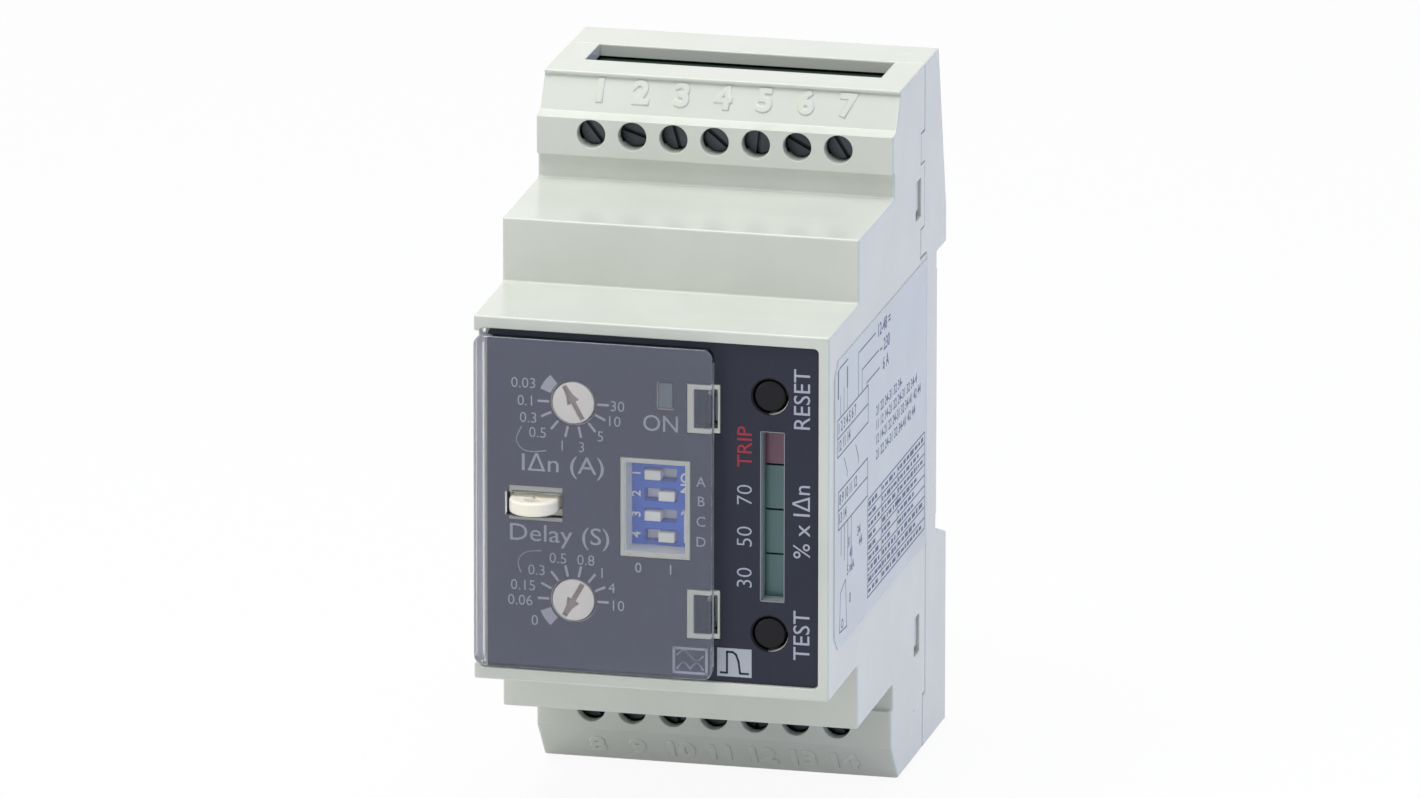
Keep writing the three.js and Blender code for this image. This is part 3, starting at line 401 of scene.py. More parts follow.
def merge_flat_faces(build):
    """Merges triangles into flat faces, with a cut through every hole."""
    bmesh.ops.remove_doubles(build, verts=build.verts, dist=weld_distance)
    mark = build.faces.layers.int.new("region")
    region = flat_regions(build)
    groups = {}
    for face, number in region.items():
        face[mark] = number
        groups.setdefault(number, []).append(face)
    cuts = []
    for number, faces in groups.items():
        loops = border_loops(faces, region, number) if len(faces) > 3 else []
        if len(loops) < 2:
            continue
        normal = faces[0].normal
        across = Vector((0, 0, 1)) if abs(normal.x) > 0.5 else Vector((1, 0, 0))
        middles = [sum(loop, Vector()) / len(loop) for loop in loops]
        spans = [max((point - loops[i][0]).length for point in loops[i]) for i in range(len(loops))]
        outer = spans.index(max(spans))
        places = {round(middle.dot(across), 6) for i, middle in enumerate(middles) if i != outer}
        cuts += [(number, across, place) for place in places]
    for number, across, place in cuts:
        faces = [face for face in build.faces if face[mark] == number]
        edges = {edge for face in faces for edge in face.edges}
        verts = {vert for face in faces for vert in face.verts}
        made = bmesh.ops.bisect_plane(build, geom=faces + list(edges) + list(verts), dist=cut_tolerance,
                                      plane_co=across * place, plane_no=across)
        for item in made["geom_cut"]:
            if isinstance(item, bmesh.types.BMEdge):
                item.seam = True
    bmesh.ops.dissolve_limit(build, angle_limit=flat_angle, verts=build.verts, edges=build.edges,
                             delimit={"SEAM"})
    for edge in build.edges:
        edge.seam = False


print("corners weld within, in mm:", weld_distance / mm)

# %% [markdown]
# A moulding has no sharp corners. Each piece is a copy of its solid with every edge rounded: long
# outer edges by a few tenths of a millimetre, short ones and holes by less, so that small features
# keep their shape.

# %% How a solid is rounded
sharp_angle = math.radians(28)
least_weight = 0.02
room_share = 0.42
in_line = 0.8
wide_face = 0.5 * mm


def plain_mesh(holder):
    """What an object's curve or modifiers make, as a mesh of its own."""
    made = bpy.data.meshes.new_from_object(holder.evaluated_get(bpy.context.evaluated_depsgraph_get()))
    holder.modifiers.clear()
    return made


def room_at(edge):
    """How wide an edge may be rounded before it runs past a short edge that it meets."""
    room = 1.0
    for vert in edge.verts:
        along = (edge.other_vert(vert).co - vert.co).normalized()
        for other in vert.link_edges:
            reach = other.other_vert(vert).co - vert.co
            if other is not edge and abs(along.dot(reach.normalized())) < in_line:
                room = min(room, room_share * reach.length)
    return room


def keep_flat(mesh):
    """Makes every wide face shade as one flat sheet."""
    normals = [corner.vector.copy() for corner in mesh.corner_normals]
    for face in mesh.polygons:
        longest = max((mesh.vertices[a].co - mesh.vertices[b].co).length for a, b in face.edge_keys)
        if face.area > wide_face * longest:
            for corner in face.loop_indices:
                normals[corner] = face.normal.copy()
    mesh.normals_split_custom_set(normals)


def rounded(node, material, radius, hole_share=1.0, is_outer=None, segments=3):
    """A copy of a solid with rounded edges, which stands for it.

    Edges that is_outer turns down get only this share of the radius."""
    mesh = frame["nodes"][node].data.copy()
    build = bmesh.new()
    build.from_mesh(mesh)
    merge_flat_faces(build)
    weight = build.edges.layers.float.new("bevel_weight_edge")
    for edge in build.edges:
        edge.smooth = True
        if len(edge.link_faces) != 2 or edge.calc_face_angle() < sharp_angle:
            continue
        outer = is_outer is None or is_outer(*[vert.co for vert in edge.verts])
        edge[weight] = min(1.0 if outer else hole_share, room_at(edge) / radius)
        edge.smooth = edge[weight] > least_weight
    for face in build.faces:
        face.smooth = True
    build.to_mesh(mesh)
    build.free()
    mesh.materials.clear()
    mesh.materials.append(material)
    piece = add_object(node + "_moulded", mesh)
    bevel = piece.modifiers.new("edges", "BEVEL")
    bevel.limit_method = "WEIGHT"
    bevel.width = radius
    bevel.segments = segments
    bevel.use_clamp_overlap = False
    bevel.harden_normals = True
    bevel.miter_outer = "MITER_ARC"
    piece.data = plain_mesh(piece)
    keep_flat(piece.data)
    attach(piece, frame["nodes"][node]["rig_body"])
    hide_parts(node)
    return piece


print("edges round above, in degrees:", round(math.degrees(sharp_angle)))

# %% [markdown]
# Which edges get the full radius is a question of place. On the housing they run round the two side
# faces, of which the left one leans in a little, or right across the width. The small catch windows
# and the narrow ledges keep crisper edges. The pane is rounded round its front face only.

# %% Edges that get the full radius
side_x = housing_high.x - 0.01 * mm
left_front_x = housing_low.x + 0.65 * mm
right_across = 1.9 * side_x
catch_low, catch_high = 22 * mm, 36 * mm
catch_front, catch_back = -12.2 * mm, -7 * mm
ledge_height, ledge_reach = 38.1 * mm, 0.4 * mm


def housing_outer(first, second):
    """Edges of the outside form: all round the side faces, or right across the width."""
    at_side = min(first.x, second.x) > side_x or max(first.x, second.x) < left_front_x
    across = abs(first.x - second.x) > right_across
    middle = (first + second) / 2
    at_catch = catch_low < abs(middle.z) < catch_high and catch_front < middle.y < catch_back
    on_ledge = abs(abs(middle.z) - ledge_height) < ledge_reach
    return (at_side or across) and not (at_catch and abs(middle.x) > side_x) and not on_ledge


cover_low, cover_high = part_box("clear_cover")


def cover_outer(first, second):
    """Edges of the pane's front face, so that the back of the pane stays one flat sheet."""
    return max(first.y, second.y) < cover_low.y + 0.01 * mm


print("the housing's sides are at x, in mm:", round(side_x / mm, 2), round(left_front_x / mm, 2))

# %% [markdown]
# Every piece that can be seen gets its rounded copy, with a radius that suits its size: a quarter of
# a millimetre on the housing, less on small parts, and hardly any on the printed films.

# %% Rounded copies of the solids
rounded("front_housing", housing_plastic, 0.26 * mm, 0.4, housing_outer)
rounded("rear_housing", housing_plastic, 0.26 * mm, 0.4, housing_outer)
rounded("front_plate", plate_film, 0.04 * mm)
rounded("seal_lug", ivory_plastic, 0.3 * mm)
rounded("clear_cover", clear_plastic, 0.2 * mm, 0.0, cover_outer, segments=4)
for dial in ("current_dial", "delay_dial"):
    rounded(dial, dial_plastic, 0.08 * mm)
for button in ("reset_button", "test_button"):
    rounded(button, black_plastic, 0.25 * mm)
slider_names = ["setting_slider_" + letter for letter in "abcd"]
for slider in slider_names:
    rounded(slider, white_plastic, 0.12 * mm)
rounded("setting_switch_body", blue_plastic, 0.12 * mm)
rounded("on_lamp", on_lens, 0.07 * mm)
for lens in ("level_70_lamp", "level_50_lamp", "level_30_lamp"):
    rounded(lens, green_lens, 0.07 * mm)
rounded("trip_lamp", red_lens, 0.07 * mm)
rounded("rail_latch", black_plastic, 0.3 * mm)
rounded("side_label", label_paper, 0.02 * mm)
for block in ("upper_terminal_block", "lower_terminal_block"):
    rounded(block, terminal_plastic, 0.12 * mm)
for number in range(1, 15):
    rounded(f"clamp_cage_{number:02d}", cage_metal, 0.12 * mm, segments=2)

# %% [markdown]
# Pieces that stay inside the housing keep their solids and get their own finish.

# %% Inner pieces
inner_finishes = {
    "current_selector_body": black_plastic, "delay_selector_body": black_plastic,
    "reset_switch_body": black_plastic, "test_switch_body": black_plastic,
    "front_board": board_resin, "main_board": board_resin,
    "output_relay": relay_case, "transformer": core_steel, "latch_spring": spring_steel,
}
for node, material in inner_finishes.items():
    frame["nodes"][node].data.materials.clear()
    frame["nodes"][node].data.materials.append(material)
print("inner pieces:", len(inner_finishes))

# %% [markdown]
# The latch's spring stands on a stud and is pressed together as the latch is pulled down. It gets a
# smooth-shaded copy of its own that rides on the housing, and the length it would be pressed to is worked
# out.

# %% The spring's copy and its pressed length
spring_low, spring_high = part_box("latch_spring")
all_joints = frame["record"]["behaviour"]["joints"]
latch_joint = next(joint for joint in all_joints if joint["name"] == "rail_latch_slide")
spring_mesh = frame["nodes"]["latch_spring"].data.copy()
spring_piece = add_object("latch_spring_wound", spring_mesh)
spring_build = bmesh.new()
spring_build.from_mesh(spring_mesh)
bmesh.ops.remove_doubles(spring_build, verts=spring_build.verts, dist=weld_distance)
for face in spring_build.faces:
    face.smooth = True
spring_build.to_mesh(spring_mesh)
spring_build.free()
spring_length = spring_high.z - spring_low.z
spring_keep = (spring_length - latch_joint["range_m"][1]) / spring_length
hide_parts("latch_spring")
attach(spring_piece, "housing")
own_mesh(spring_piece)
pressed_length = spring_keep * spring_length
print("spring in mm:", round(spring_length / mm, 1), "pressed to:", round(pressed_length / mm, 1))

# %% [markdown]
# Terminal screws. All fourteen are the same screw, turned to different angles by whoever last
# tightened them, so one Geometry Nodes tree makes them: a head with a slot cut through it, and a
# shank with a ridge for each turn of thread. Only the place and the angle change.

# %% Sizes of a screw
screw_low, screw_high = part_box("terminal_screw_01")
head_thickness, slot_width, slot_depth = 1.5 * mm, 0.5 * mm, 0.7 * mm
thread_pitch = 0.45 * mm
thread_length = screw_high.y - screw_low.y - head_thickness
screw_sizes = {
    "Turn": 0.0, "Head radius": (screw_high.x - screw_low.x) / 2, "Head thickness": head_thickness,
    "Slot width": slot_width, "Slot depth": slot_depth, "Shank radius": 1.25 * mm,
    "Thread pitch": thread_pitch, "Thread count": round(thread_length / thread_pitch) - 1,
}
ridge_share = 0.8
head_sides, ridge_sides = 48, 24
print("ridges of thread on a screw:", screw_sizes["Thread count"])

# %% [markdown]
# The tree has an input for each size, so one tree could make a whole family of screws. It works the
# way a maker would: turn the head, cut its slot, stack the ridges of the thread, and join them.

# %% One tree for every screw
def add_input(tree, name, value):
    kind = "NodeSocketInt" if isinstance(value, int) else "NodeSocketFloat"
    socket = tree.interface.new_socket(name, in_out="INPUT", socket_type=kind)
    socket.default_value = value
    return socket.identifier


def screw_tree():
    tree = bpy.data.node_groups.new("slotted_screw", "GeometryNodeTree")
    identifiers = {name: add_input(tree, name, value) for name, value in screw_sizes.items()}
    tree.interface.new_socket("Geometry", in_out="OUTPUT", socket_type="NodeSocketGeometry")
    given = tree.nodes.new("NodeGroupInput").outputs

    def times(name, factor):
        return add_sum(tree, "MULTIPLY", given[name], factor)

    def vector(x=0.0, y=0.0, z=0.0):
        return add_node(tree, "ShaderNodeCombineXYZ", X=x, Y=y, Z=z).outputs[0]

    # The screw is made along Z with the top of its head at zero, and turned to face the front last.
    head = add_node(tree, "GeometryNodeMeshCylinder", Vertices=head_sides, Radius=given["Head radius"],
                    Depth=given["Head thickness"])
    head_drop = vector(z=times("Head thickness", -0.5))
    placed = add_node(tree, "GeometryNodeTransform", Geometry=head.outputs["Mesh"], Translation=head_drop)
    bar_size = vector(times("Head radius", 3.0), given["Slot width"], times("Slot depth", 2.0))
    bar = add_node(tree, "GeometryNodeMeshCube", Size=bar_size)
    cut = tree.nodes.new("GeometryNodeMeshBoolean")
    cut.operation = "DIFFERENCE"
    set_inputs(tree, cut, Mesh_1=placed.outputs[0], Mesh_2=bar.outputs["Mesh"])
    ridge = add_node(tree, "GeometryNodeMeshCone", Vertices=ridge_sides, Radius_Bottom=given["Shank radius"],
                     Radius_Top=times("Shank radius", ridge_share), Depth=given["Thread pitch"])
    step = times("Thread pitch", -1.0)
    start = add_sum(tree, "ADD", times("Head thickness", -1.0), step)
    line = add_node(tree, "GeometryNodeMeshLine", Count=given["Thread count"], Offset=vector(z=step),
                    Start_Location=vector(z=start))
    ridges = add_node(tree, "GeometryNodeInstanceOnPoints", Points=line.outputs["Mesh"],
                      Instance=ridge.outputs["Mesh"])
    join = add_node(tree, "GeometryNodeJoinGeometry", Geometry=cut.outputs["Mesh"])
    tree.links.new(ridges.outputs["Instances"], join.inputs[0])
    to_front = vector(math.pi / 2, given["Turn"], 0.0)
    turned = add_node(tree, "GeometryNodeTransform", Geometry=join.outputs[0], Rotation=to_front)
    whole = add_node(tree, "GeometryNodeRealizeInstances", Geometry=turned.outputs[0])
    paint = add_node(tree, "GeometryNodeSetMaterial", Geometry=whole.outputs[0], Material=screw_steel_painted_dark)
    add_node(tree, "NodeGroupOutput", Geometry=paint.outputs[0])
    return tree, identifiers


screw_nodes, screw_inputs = screw_tree()
print("inputs of the tree:", list(screw_inputs))

# %% [markdown]
# Fourteen empty meshes get the tree as a modifier, each with its own turn, which is set before the
# tree is first worked out. What the tree makes is then kept as a plain mesh.

# %% Fourteen screws
screw_turns_deg = (52, 18, 74, 40, 96, 28, 58)
for number in range(1, 15):
    node = f"terminal_screw_{number:02d}"
    middle = middle_of(node)
    screw = add_object(node + "_turned", bpy.data.meshes.new(node))
    maker = screw.modifiers.new("screw", "NODES")
    maker.node_group = screw_nodes
    maker[screw_inputs["Turn"]] = math.radians(screw_turns_deg[(number - 1) % 7])
    mesh = plain_mesh(screw)
    mesh.transform(Matrix.Translation((middle.x, screw_low.y, middle.z)))
    screw.data = mesh
    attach(screw, frame["nodes"][node]["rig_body"])
    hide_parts(node)
print("one screw has faces:", len(screw.data.polygons))

# %% [markdown]
# Print. Silk-screened marks are a thin film of ink, so each mark is real geometry a hundredth of a
# millimetre proud of its film. Letters come from Blender's own font, and are sized by the height of
# their capitals, as a printer would do it.

# %% Letters
ink_height = 0.012 * mm


def letter_mesh(text, height, stretch=1.0, weight=0.0, rounding=0.0):
    """Text as a closed thin mesh in the XY plane, centred, with this height of its capitals."""
    curve = bpy.data.curves.new("mark", "FONT")
    curve.body = text
    curve.align_x = "CENTER"
    curve.align_y = "CENTER"
    curve.size = 1
    curve.resolution_u = 3
    holder = add_object("mark", curve)
    scale = height / capital_height
    curve.offset = weight
    curve.extrude = ink_height / scale
    curve.bevel_depth = rounding / scale
    curve.bevel_resolution = 2 if rounding else 0
    bpy.context.view_layer.update()
    mesh = plain_mesh(holder)
    bpy.data.objects.remove(holder)
    mesh.transform(Matrix.Diagonal((scale * stretch, scale, scale, 1)))
    return mesh


capital_height = 1.0
probe = letter_mesh("H", 1.0)
capital_height = max(vert.co.y for vert in probe.vertices) - min(vert.co.y for vert in probe.vertices)
print("a capital of size 1 is", round(capital_height, 3), "high")

# %% [markdown]
# Ticks, frames and curves are thin bars. A line is a row of bars that overlap a little at their
# ends, so that no notch shows at a corner.

# %% Bars and lines
overlap_share = 0.6


def as_mesh(build, name):
    """Turns a shape that is being built into a mesh."""
    mesh = bpy.data.meshes.new(name)
    build.to_mesh(mesh)
    build.free()
    return mesh


def bar_mesh(length, width, thickness=ink_height):
    """A thin bar in the XY plane, centred, longer along X."""
    build = bmesh.new()
    bmesh.ops.create_cube(build, size=1)
    bmesh.ops.scale(build, vec=(length, width, 2 * thickness), verts=build.verts)
    return as_mesh(build, "bar")


def polyline_mesh(points, width, closed=False, thickness=ink_height):
    """A line of even width through flat points, as one closed strip for each stretch."""
    pairs = list(zip(points, points[1:] + points[:1] if closed else points[1:]))
    build = bmesh.new()
    for (x0, y0), (x1, y1) in pairs:
        piece = bar_mesh(math.hypot(x1 - x0, y1 - y0) + overlap_share * width, width, thickness)
        turn_by = Matrix.Rotation(math.atan2(y1 - y0, x1 - x0), 4, "Z")
        piece.transform(Matrix.Translation(((x0 + x1) / 2, (y0 + y1) / 2, 0)) @ turn_by)
        build.from_mesh(piece)
        bpy.data.meshes.remove(piece)
    return as_mesh(build, "line")


def arc_points(x, z, radius, start_deg, end_deg, steps=16):
    """Points along an arc round (x, z), with angles in degrees."""
    angles = [math.radians(start_deg + (end_deg - start_deg) * i / steps) for i in range(steps + 1)]
    return [(x + radius * math.cos(a), z + radius * math.sin(a)) for a in angles]


print("points in a quarter arc:", len(arc_points(0, 0, 1, 0, 90)))

# %% [markdown]
# A mark lies flat when it is made. It is turned in its plane, stood up to face the front and moved
# to its place, and all marks of one ink and one body are joined into one piece.

# %% Marks on the front
plate_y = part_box("front_plate")[0].y
stand_up = Matrix.Rotation(math.radians(90), 4, "X")


def on_front(mesh, x=0.0, z=0.0, turn_deg=0.0, y=plate_y):
    """Places a flat mark on a face that looks to the front."""
    turned = Matrix.Rotation(math.radians(turn_deg), 4, "Z")
    mesh.transform(Matrix.Translation((x, y, z)) @ stand_up @ turned)
    return mesh


def one_piece(name, meshes, material, body="housing"):
    """Joins meshes into one piece that rides on a body."""
    build = bmesh.new()
    for mesh in meshes:
        build.from_mesh(mesh)
        bpy.data.meshes.remove(mesh)
    joined = as_mesh(build, name)
    joined.materials.clear()
    joined.materials.append(material)
    piece = add_object(name, joined)
    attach(piece, body)
    return piece


print("the front film's face is at y in mm:", round(plate_y / mm, 2))

# %% [markdown]
# A scale needs two more shapes: a smooth line through a few points, for the bow beside it, and a
# piece of a ring, for its wedge.

# %% Smooth lines and pieces of a ring
def smooth_line(points, steps=5):
    """More points along a smooth line through these."""
    path = [Vector(point) for point in points]
    path = [2 * path[0] - path[1]] + path + [2 * path[-1] - path[-2]]
    line = []
    for before, start, end, after in zip(path, path[1:], path[2:], path[3:]):
        for i in range(steps):
            t = i / steps
            bend = (end - before) * t + (2 * before - 5 * start + 4 * end - after) * t ** 2
            line.append(start + (bend + (3 * start - before - 3 * end + after) * t ** 3) / 2)
    return line + [path[-2]]


def sector_mesh(inner, outer, start_deg, end_deg, thickness=ink_height):
    """A piece of a ring round the origin."""
    steps = 8 if end_deg - start_deg < 90 else 48
    corners = arc_points(0, 0, outer, start_deg, end_deg, steps)
    corners += arc_points(0, 0, inner, end_deg, start_deg, steps)
    build = bmesh.new()
    count = len(corners)
    low = [build.verts.new((x, y, -thickness)) for x, y in corners]
    high = [build.verts.new((x, y, thickness)) for x, y in corners]
    for i in range(count):
        build.faces.new((low[i], low[(i + 1) % count], high[(i + 1) % count], high[i]))
    for i in range(steps):
        quad = (i, i + 1, count - 2 - i, count - 1 - i)
        build.faces.new([low[k] for k in quad])
        build.faces.new([high[k] for k in reversed(quad)])
    bmesh.ops.recalc_face_normals(build, faces=build.faces)
    return as_mesh(build, "sector")


print("points of a smooth line through three:", len(smooth_line(((0, 0), (1, 1), (2, 0)))))

# %% [markdown]
# The scales round the two dials follow one rule: eight ticks, evenly spaced over half a turn, and a
# wedge where the arrow starts. The second dial is the first one upside down. The values stand where
# there is room for them, each with its own place in millimetres. The pane bends light a little, so
# they are printed slightly right of and above the place where they are seen.

# %% Scales round the dials
dial_middle, delay_middle = middle_of("current_dial"), middle_of("delay_dial")
tick_inner, tick_outer, tick_width = 2.95 * mm, 4.35 * mm, 0.3 * mm
wedge_outer, bow_width = 4.3 * mm, 0.14 * mm
value_height, value_weight = 1.25 * mm, -0.006
pane_right, pane_up = 0.18, 0.13
current_values = (("0.03", -15.46, 14.36), ("0.1", -15.15, 12.18), ("0.3", -14.86, 10.1),
                  ("0.5", -13.73, 8.32), ("1", -10.74, 6.89), ("3", -8.36, 6.84),
                  ("5", -6.06, 8.33), ("10", -4.46, 10.28), ("30", -4.0, 12.16))
delay_values = (("0", -14.12, -14.96), ("0.06", -15.89, -12.55), ("0.15", -15.53, -10.67),
                ("0.3", -13.86, -8.71), ("0.5", -11.25, -7.09), ("0.8", -7.85, -7.11),
                ("1", -5.87, -8.56), ("4", -4.67, -10.33), ("10", -4.0, -12.5))


def through_pane(x, z):
    """Where a mark has to be printed to be seen at (x, z), given in millimetres."""
    return (x + pane_right) * mm, (z + pane_up) * mm


def dial_scale(centre, values, side, wedge_deg, bow_mm):
    """Ticks, values and start wedge; side is 1 where the scale runs below the dial, -1 above."""
    marks = []
    for i in range(8):
        angle = side * math.radians(180 + 180 * i / 7)
        middle = (tick_inner + tick_outer) / 2
        x, z = middle * math.cos(angle), middle * math.sin(angle)
        tick = bar_mesh(tick_outer - tick_inner, tick_width)
        marks.append(on_front(tick, centre.x + x, centre.z + z, math.degrees(angle)))
    for value, x, z in values:
        marks.append(on_front(letter_mesh(value, value_height, weight=value_weight), *through_pane(x, z)))
    wedge = sector_mesh(tick_inner, wedge_outer, *wedge_deg)
    marks.append(on_front(wedge, centre.x, centre.z))
    bow = [through_pane(x, z) for x, z in smooth_line(bow_mm)]
    marks.append(on_front(polyline_mesh(bow, bow_width)))
    return marks


current_bow = ((-15.72, 8.99), (-16.28, 7.78), (-16.21, 6.9),
               (-15.45, 6.15), (-14.24, 5.98), (-12.73, 6.2))
delay_bow = ((-13.32, -6.21), (-14.52, -6.34), (-15.42, -6.65),
             (-15.95, -7.2), (-16.15, -8.0), (-15.81, -9.05))
white_marks = dial_scale(dial_middle, current_values, 1, (130, 159), current_bow)
white_marks += dial_scale(delay_middle, delay_values, -1, (201, 230), delay_bow)
print("marks round the dials:", len(white_marks))

# %% [markdown]
# The other marks: names of the settings, the switch letters, and words that run up the right side.
# Each is a text, a capital height, a place in millimetres, a turn in degrees, a stretch and a
# stroke weight, where less than zero is thinner.

# %% Words and numbers
flat_words = (
    ("IΔn (A)", 2.05, -10.5, 4.65, 0, 1.16, 0), ("Delay (S)", 2.05, -10.9, -4.05, 0, 1.14, 0),
    ("ON", 1.95, 1.5, 10.5, 0, 1, 0), ("0", 1.2, -1.25, -7.45, 0, 1, 0), ("1", 1.2, 2.7, -7.45, 0, 1, 0),
    ("A", 1.2, 6.4, 3.65, 0, 1, 0), ("B", 1.2, 6.4, 1.25, 0, 1, 0), ("C", 1.2, 6.4, -1.25, 0, 1, 0),
    ("D", 1.2, 6.4, -3.75, 0, 1, 0),
    ("RESET", 1.95, 18.7, 14.5, 90, 1, 0), ("TEST", 1.95, 18.7, -14.6, 90, 1, 0),
    ("% x IΔn", 2.0, 18.7, -0.5, 90, 1, 0), ("70", 1.85, 11.7, 2.35, 90, 1, -0.012),
    ("50", 1.85, 11.7, -2.8, 90, 1, -0.012), ("30", 1.85, 11.7, -7.9, 90, 1, -0.012),
)
for text, height, x, z, turn_deg, stretch, weight in flat_words:
    word = letter_mesh(text, height * mm, stretch, weight=weight)
    white_marks.append(on_front(word, x * mm, z * mm, turn_deg))
one_piece("front_plate_print", white_marks, white_ink)
trip = on_front(letter_mesh("TRIP", 1.76 * mm), 11.7 * mm, 8.3 * mm, 90)
one_piece("trip_print", [trip], red_ink)
print("words:", len(flat_words) + 1)

# %% [markdown]
# The switch has its own print: a number beside each slider, ON where they are closed, and an arrow
# that points there. Each slider's slot gets a pale floor, so that it doesn't look bottomless.

# %% Print on the setting switch
switch_low, switch_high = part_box("setting_switch_body")
way_heights = [middle_of(name).z for name in slider_names]
stroke, head_reach, head_drop = 0.2 * mm, 0.4 * mm, 0.6 * mm
arrow_x = switch_high.x - 2.0 * mm
arrow_foot, arrow_top = way_heights[3] - 0.6 * mm, way_heights[2] + 0.9 * mm
arrow_head = [(arrow_x - head_reach, arrow_top - head_drop), (arrow_x, arrow_top),
              (arrow_x + head_reach, arrow_top - head_drop)]
switch_marks = []
for number, height in enumerate(way_heights, 1):
    digit = letter_mesh(str(number), 1.05 * mm, weight=0.02)
    switch_marks.append(on_front(digit, switch_low.x + 2.0 * mm, height, 90, y=switch_low.y))
switch_on = letter_mesh("ON", 1.1 * mm, weight=0.02)
switch_marks.append(on_front(switch_on, arrow_x, way_heights[0] - 0.9 * mm, -90, y=switch_low.y))
for points in ([(arrow_x, arrow_foot), (arrow_x, arrow_top)], arrow_head):
    switch_marks.append(on_front(polyline_mesh(points, stroke), y=switch_low.y))
one_piece("setting_switch_print", switch_marks, switch_ink)
switch_middle = middle_of("setting_switch_body")
floor_y = switch_low.y + 1.46 * mm
floor_size = (3.8 * mm, 1.4 * mm, 0.03 * mm)
floors = [on_front(bar_mesh(*floor_size), switch_middle.x, height, y=floor_y) for height in way_heights]
one_piece("setting_switch_floors", floors, white_plastic)
print("ways:", len(way_heights))

# %% [markdown]
# The walls of the deeper openings in the front get thin liners: black ones paint the shade in the snap
# windows, grey ones line the well of the level bar, and a white one paints light on the walls of the setting
# switch's window. A liner is a thin frame that lies against the walls.

# %% Liners of the openings
def filled(x_span, z_span, y_span):
    """A box that fills these spans, in its place."""
    (x0, x1), (z0, z1), (y0, y1) = x_span, z_span, y_span
    return on_front(bar_mesh(x1 - x0, z1 - z0, (y1 - y0) / 2), (x0 + x1) / 2, (z0 + z1) / 2, y=(y0 + y1) / 2)


def liner(name, material, x_span, z_span, y_span, thickness=0.06 * mm):
    """Four thin walls that stand in a rectangular opening."""
    (x0, x1), (z0, z1) = x_span, z_span
    walls = (((x0, x0 + thickness), z_span), ((x1 - thickness, x1), z_span),
             (x_span, (z0, z0 + thickness)), (x_span, (z1 - thickness, z1)))
    return one_piece(name, [filled(across, up, y_span) for across, up in walls], material)


def in_mm(low, high):
    return low * mm, high * mm


# Black liners in the snap windows are painted shade where the dark inside of the housing shows.
snap_depths = (plate_y + 0.3 * mm, plate_y + 1.95 * mm)
for name, middle in (("upper_snap_painted_shade", 12.7), ("lower_snap_painted_shade", -12.7)):
    liner(name, black_plastic, in_mm(5.5, 8.3), in_mm(middle - 2.4, middle + 2.4), snap_depths)
bar_high, bar_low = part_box("trip_lamp")[1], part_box("level_30_lamp")[0]
for name, grow, start, end in (("level_bar_liner", 0.1, 0.42, 2.08), ("level_bar_frame", 0.19, 0.02, 0.38)):
    x_span = (bar_low.x - grow * mm, bar_high.x + grow * mm)
    z_span = (bar_low.z - grow * mm, bar_high.z + grow * mm)
    liner(name, well_plastic, x_span, z_span, (plate_y + start * mm, plate_y + end * mm), 0.09 * mm)
window_x, window_z = switch_middle.x + 0.16 * mm, switch_middle.z + 0.53 * mm
# A white liner in the setting switch's window paints light on its walls, which the lamps leave darker.
liner("setting_window_painted_light", white_plastic, (window_x - 3.7 * mm, window_x + 3.7 * mm),
      (window_z - 5.55 * mm, window_z + 5.55 * mm), (plate_y + 0.15 * mm, switch_low.y - 0.05 * mm))

# %% [markdown]
# A button stands in its round hole with a small gap all round. The gap looks dark but for its lower right,
# where light catches its edge, so two open black rings paint that shade into it and leave that part free.

# %% Painted shade rings round the buttons
ring_start_deg, ring_end_deg = 10, 265
ring_walls = ((2.13 * mm, 2.29 * mm, 0.12 * mm, 0.26 * mm), (2.1 * mm, 2.18 * mm, 0.7 * mm, 1.15 * mm))
for button in ("reset_button", "test_button"):
    middle = middle_of(button)
    rings = []
    for inner, outer, half_depth, behind_face in ring_walls:
        ring = sector_mesh(inner, outer, ring_start_deg, ring_end_deg, half_depth)
        rings.append(on_front(ring, middle.x, middle.z, y=plate_y + behind_face))
    one_piece(button + "_painted_shade_ring", rings, black_plastic)
print("rings stop short of a full turn by, in degrees:", 360 - ring_end_deg + ring_start_deg)

# %% [markdown]
# The cover's cut edge on the right and its thick hinge flange on the left look milky, because light scatters
# in them. Thin pale opaque strips just under their surfaces paint that light, and turn with the cover.

# %% Painted light in the edges of the cover
edge_strip = filled((cover_high.x - 0.05 * mm, cover_high.x - 0.01 * mm), in_mm(-18.8, 18.8),
                    (cover_low.y + 0.25 * mm, cover_low.y + 1.0 * mm))
flange_strip = filled((cover_low.x + 0.08 * mm, cover_low.x + 0.92 * mm), in_mm(-20.2, 20.2),
                      (cover_low.y + 2.6 * mm, cover_low.y + 2.65 * mm))
one_piece("cover_right_edge_painted_light", [edge_strip], painted_edge_light, body="cover")
one_piece("cover_flange_painted_light", [flange_strip], painted_edge_light, body="cover")

# %% [markdown]
# Two small framed signs stand at the foot of the front: a pair of waves, which says that both
# alternating and pulsed currents are sensed, and a light square with one pulse. Both are the usual
# general signs, drawn from lines of even width.

# %% Signs at the foot of the front
def wave_points(x, z, width, reach, fold=float, steps=18):
    """One full wave round the height z; folded with abs it is two humps that stand on z."""
    shares = [i / steps for i in range(steps + 1)]
    return [(x + width * (t - 0.5), z + reach * fold(math.sin(2 * math.pi * t))) for t in shares]


def at_mm(points):
    return [(x * mm, z * mm) for x, z in points]


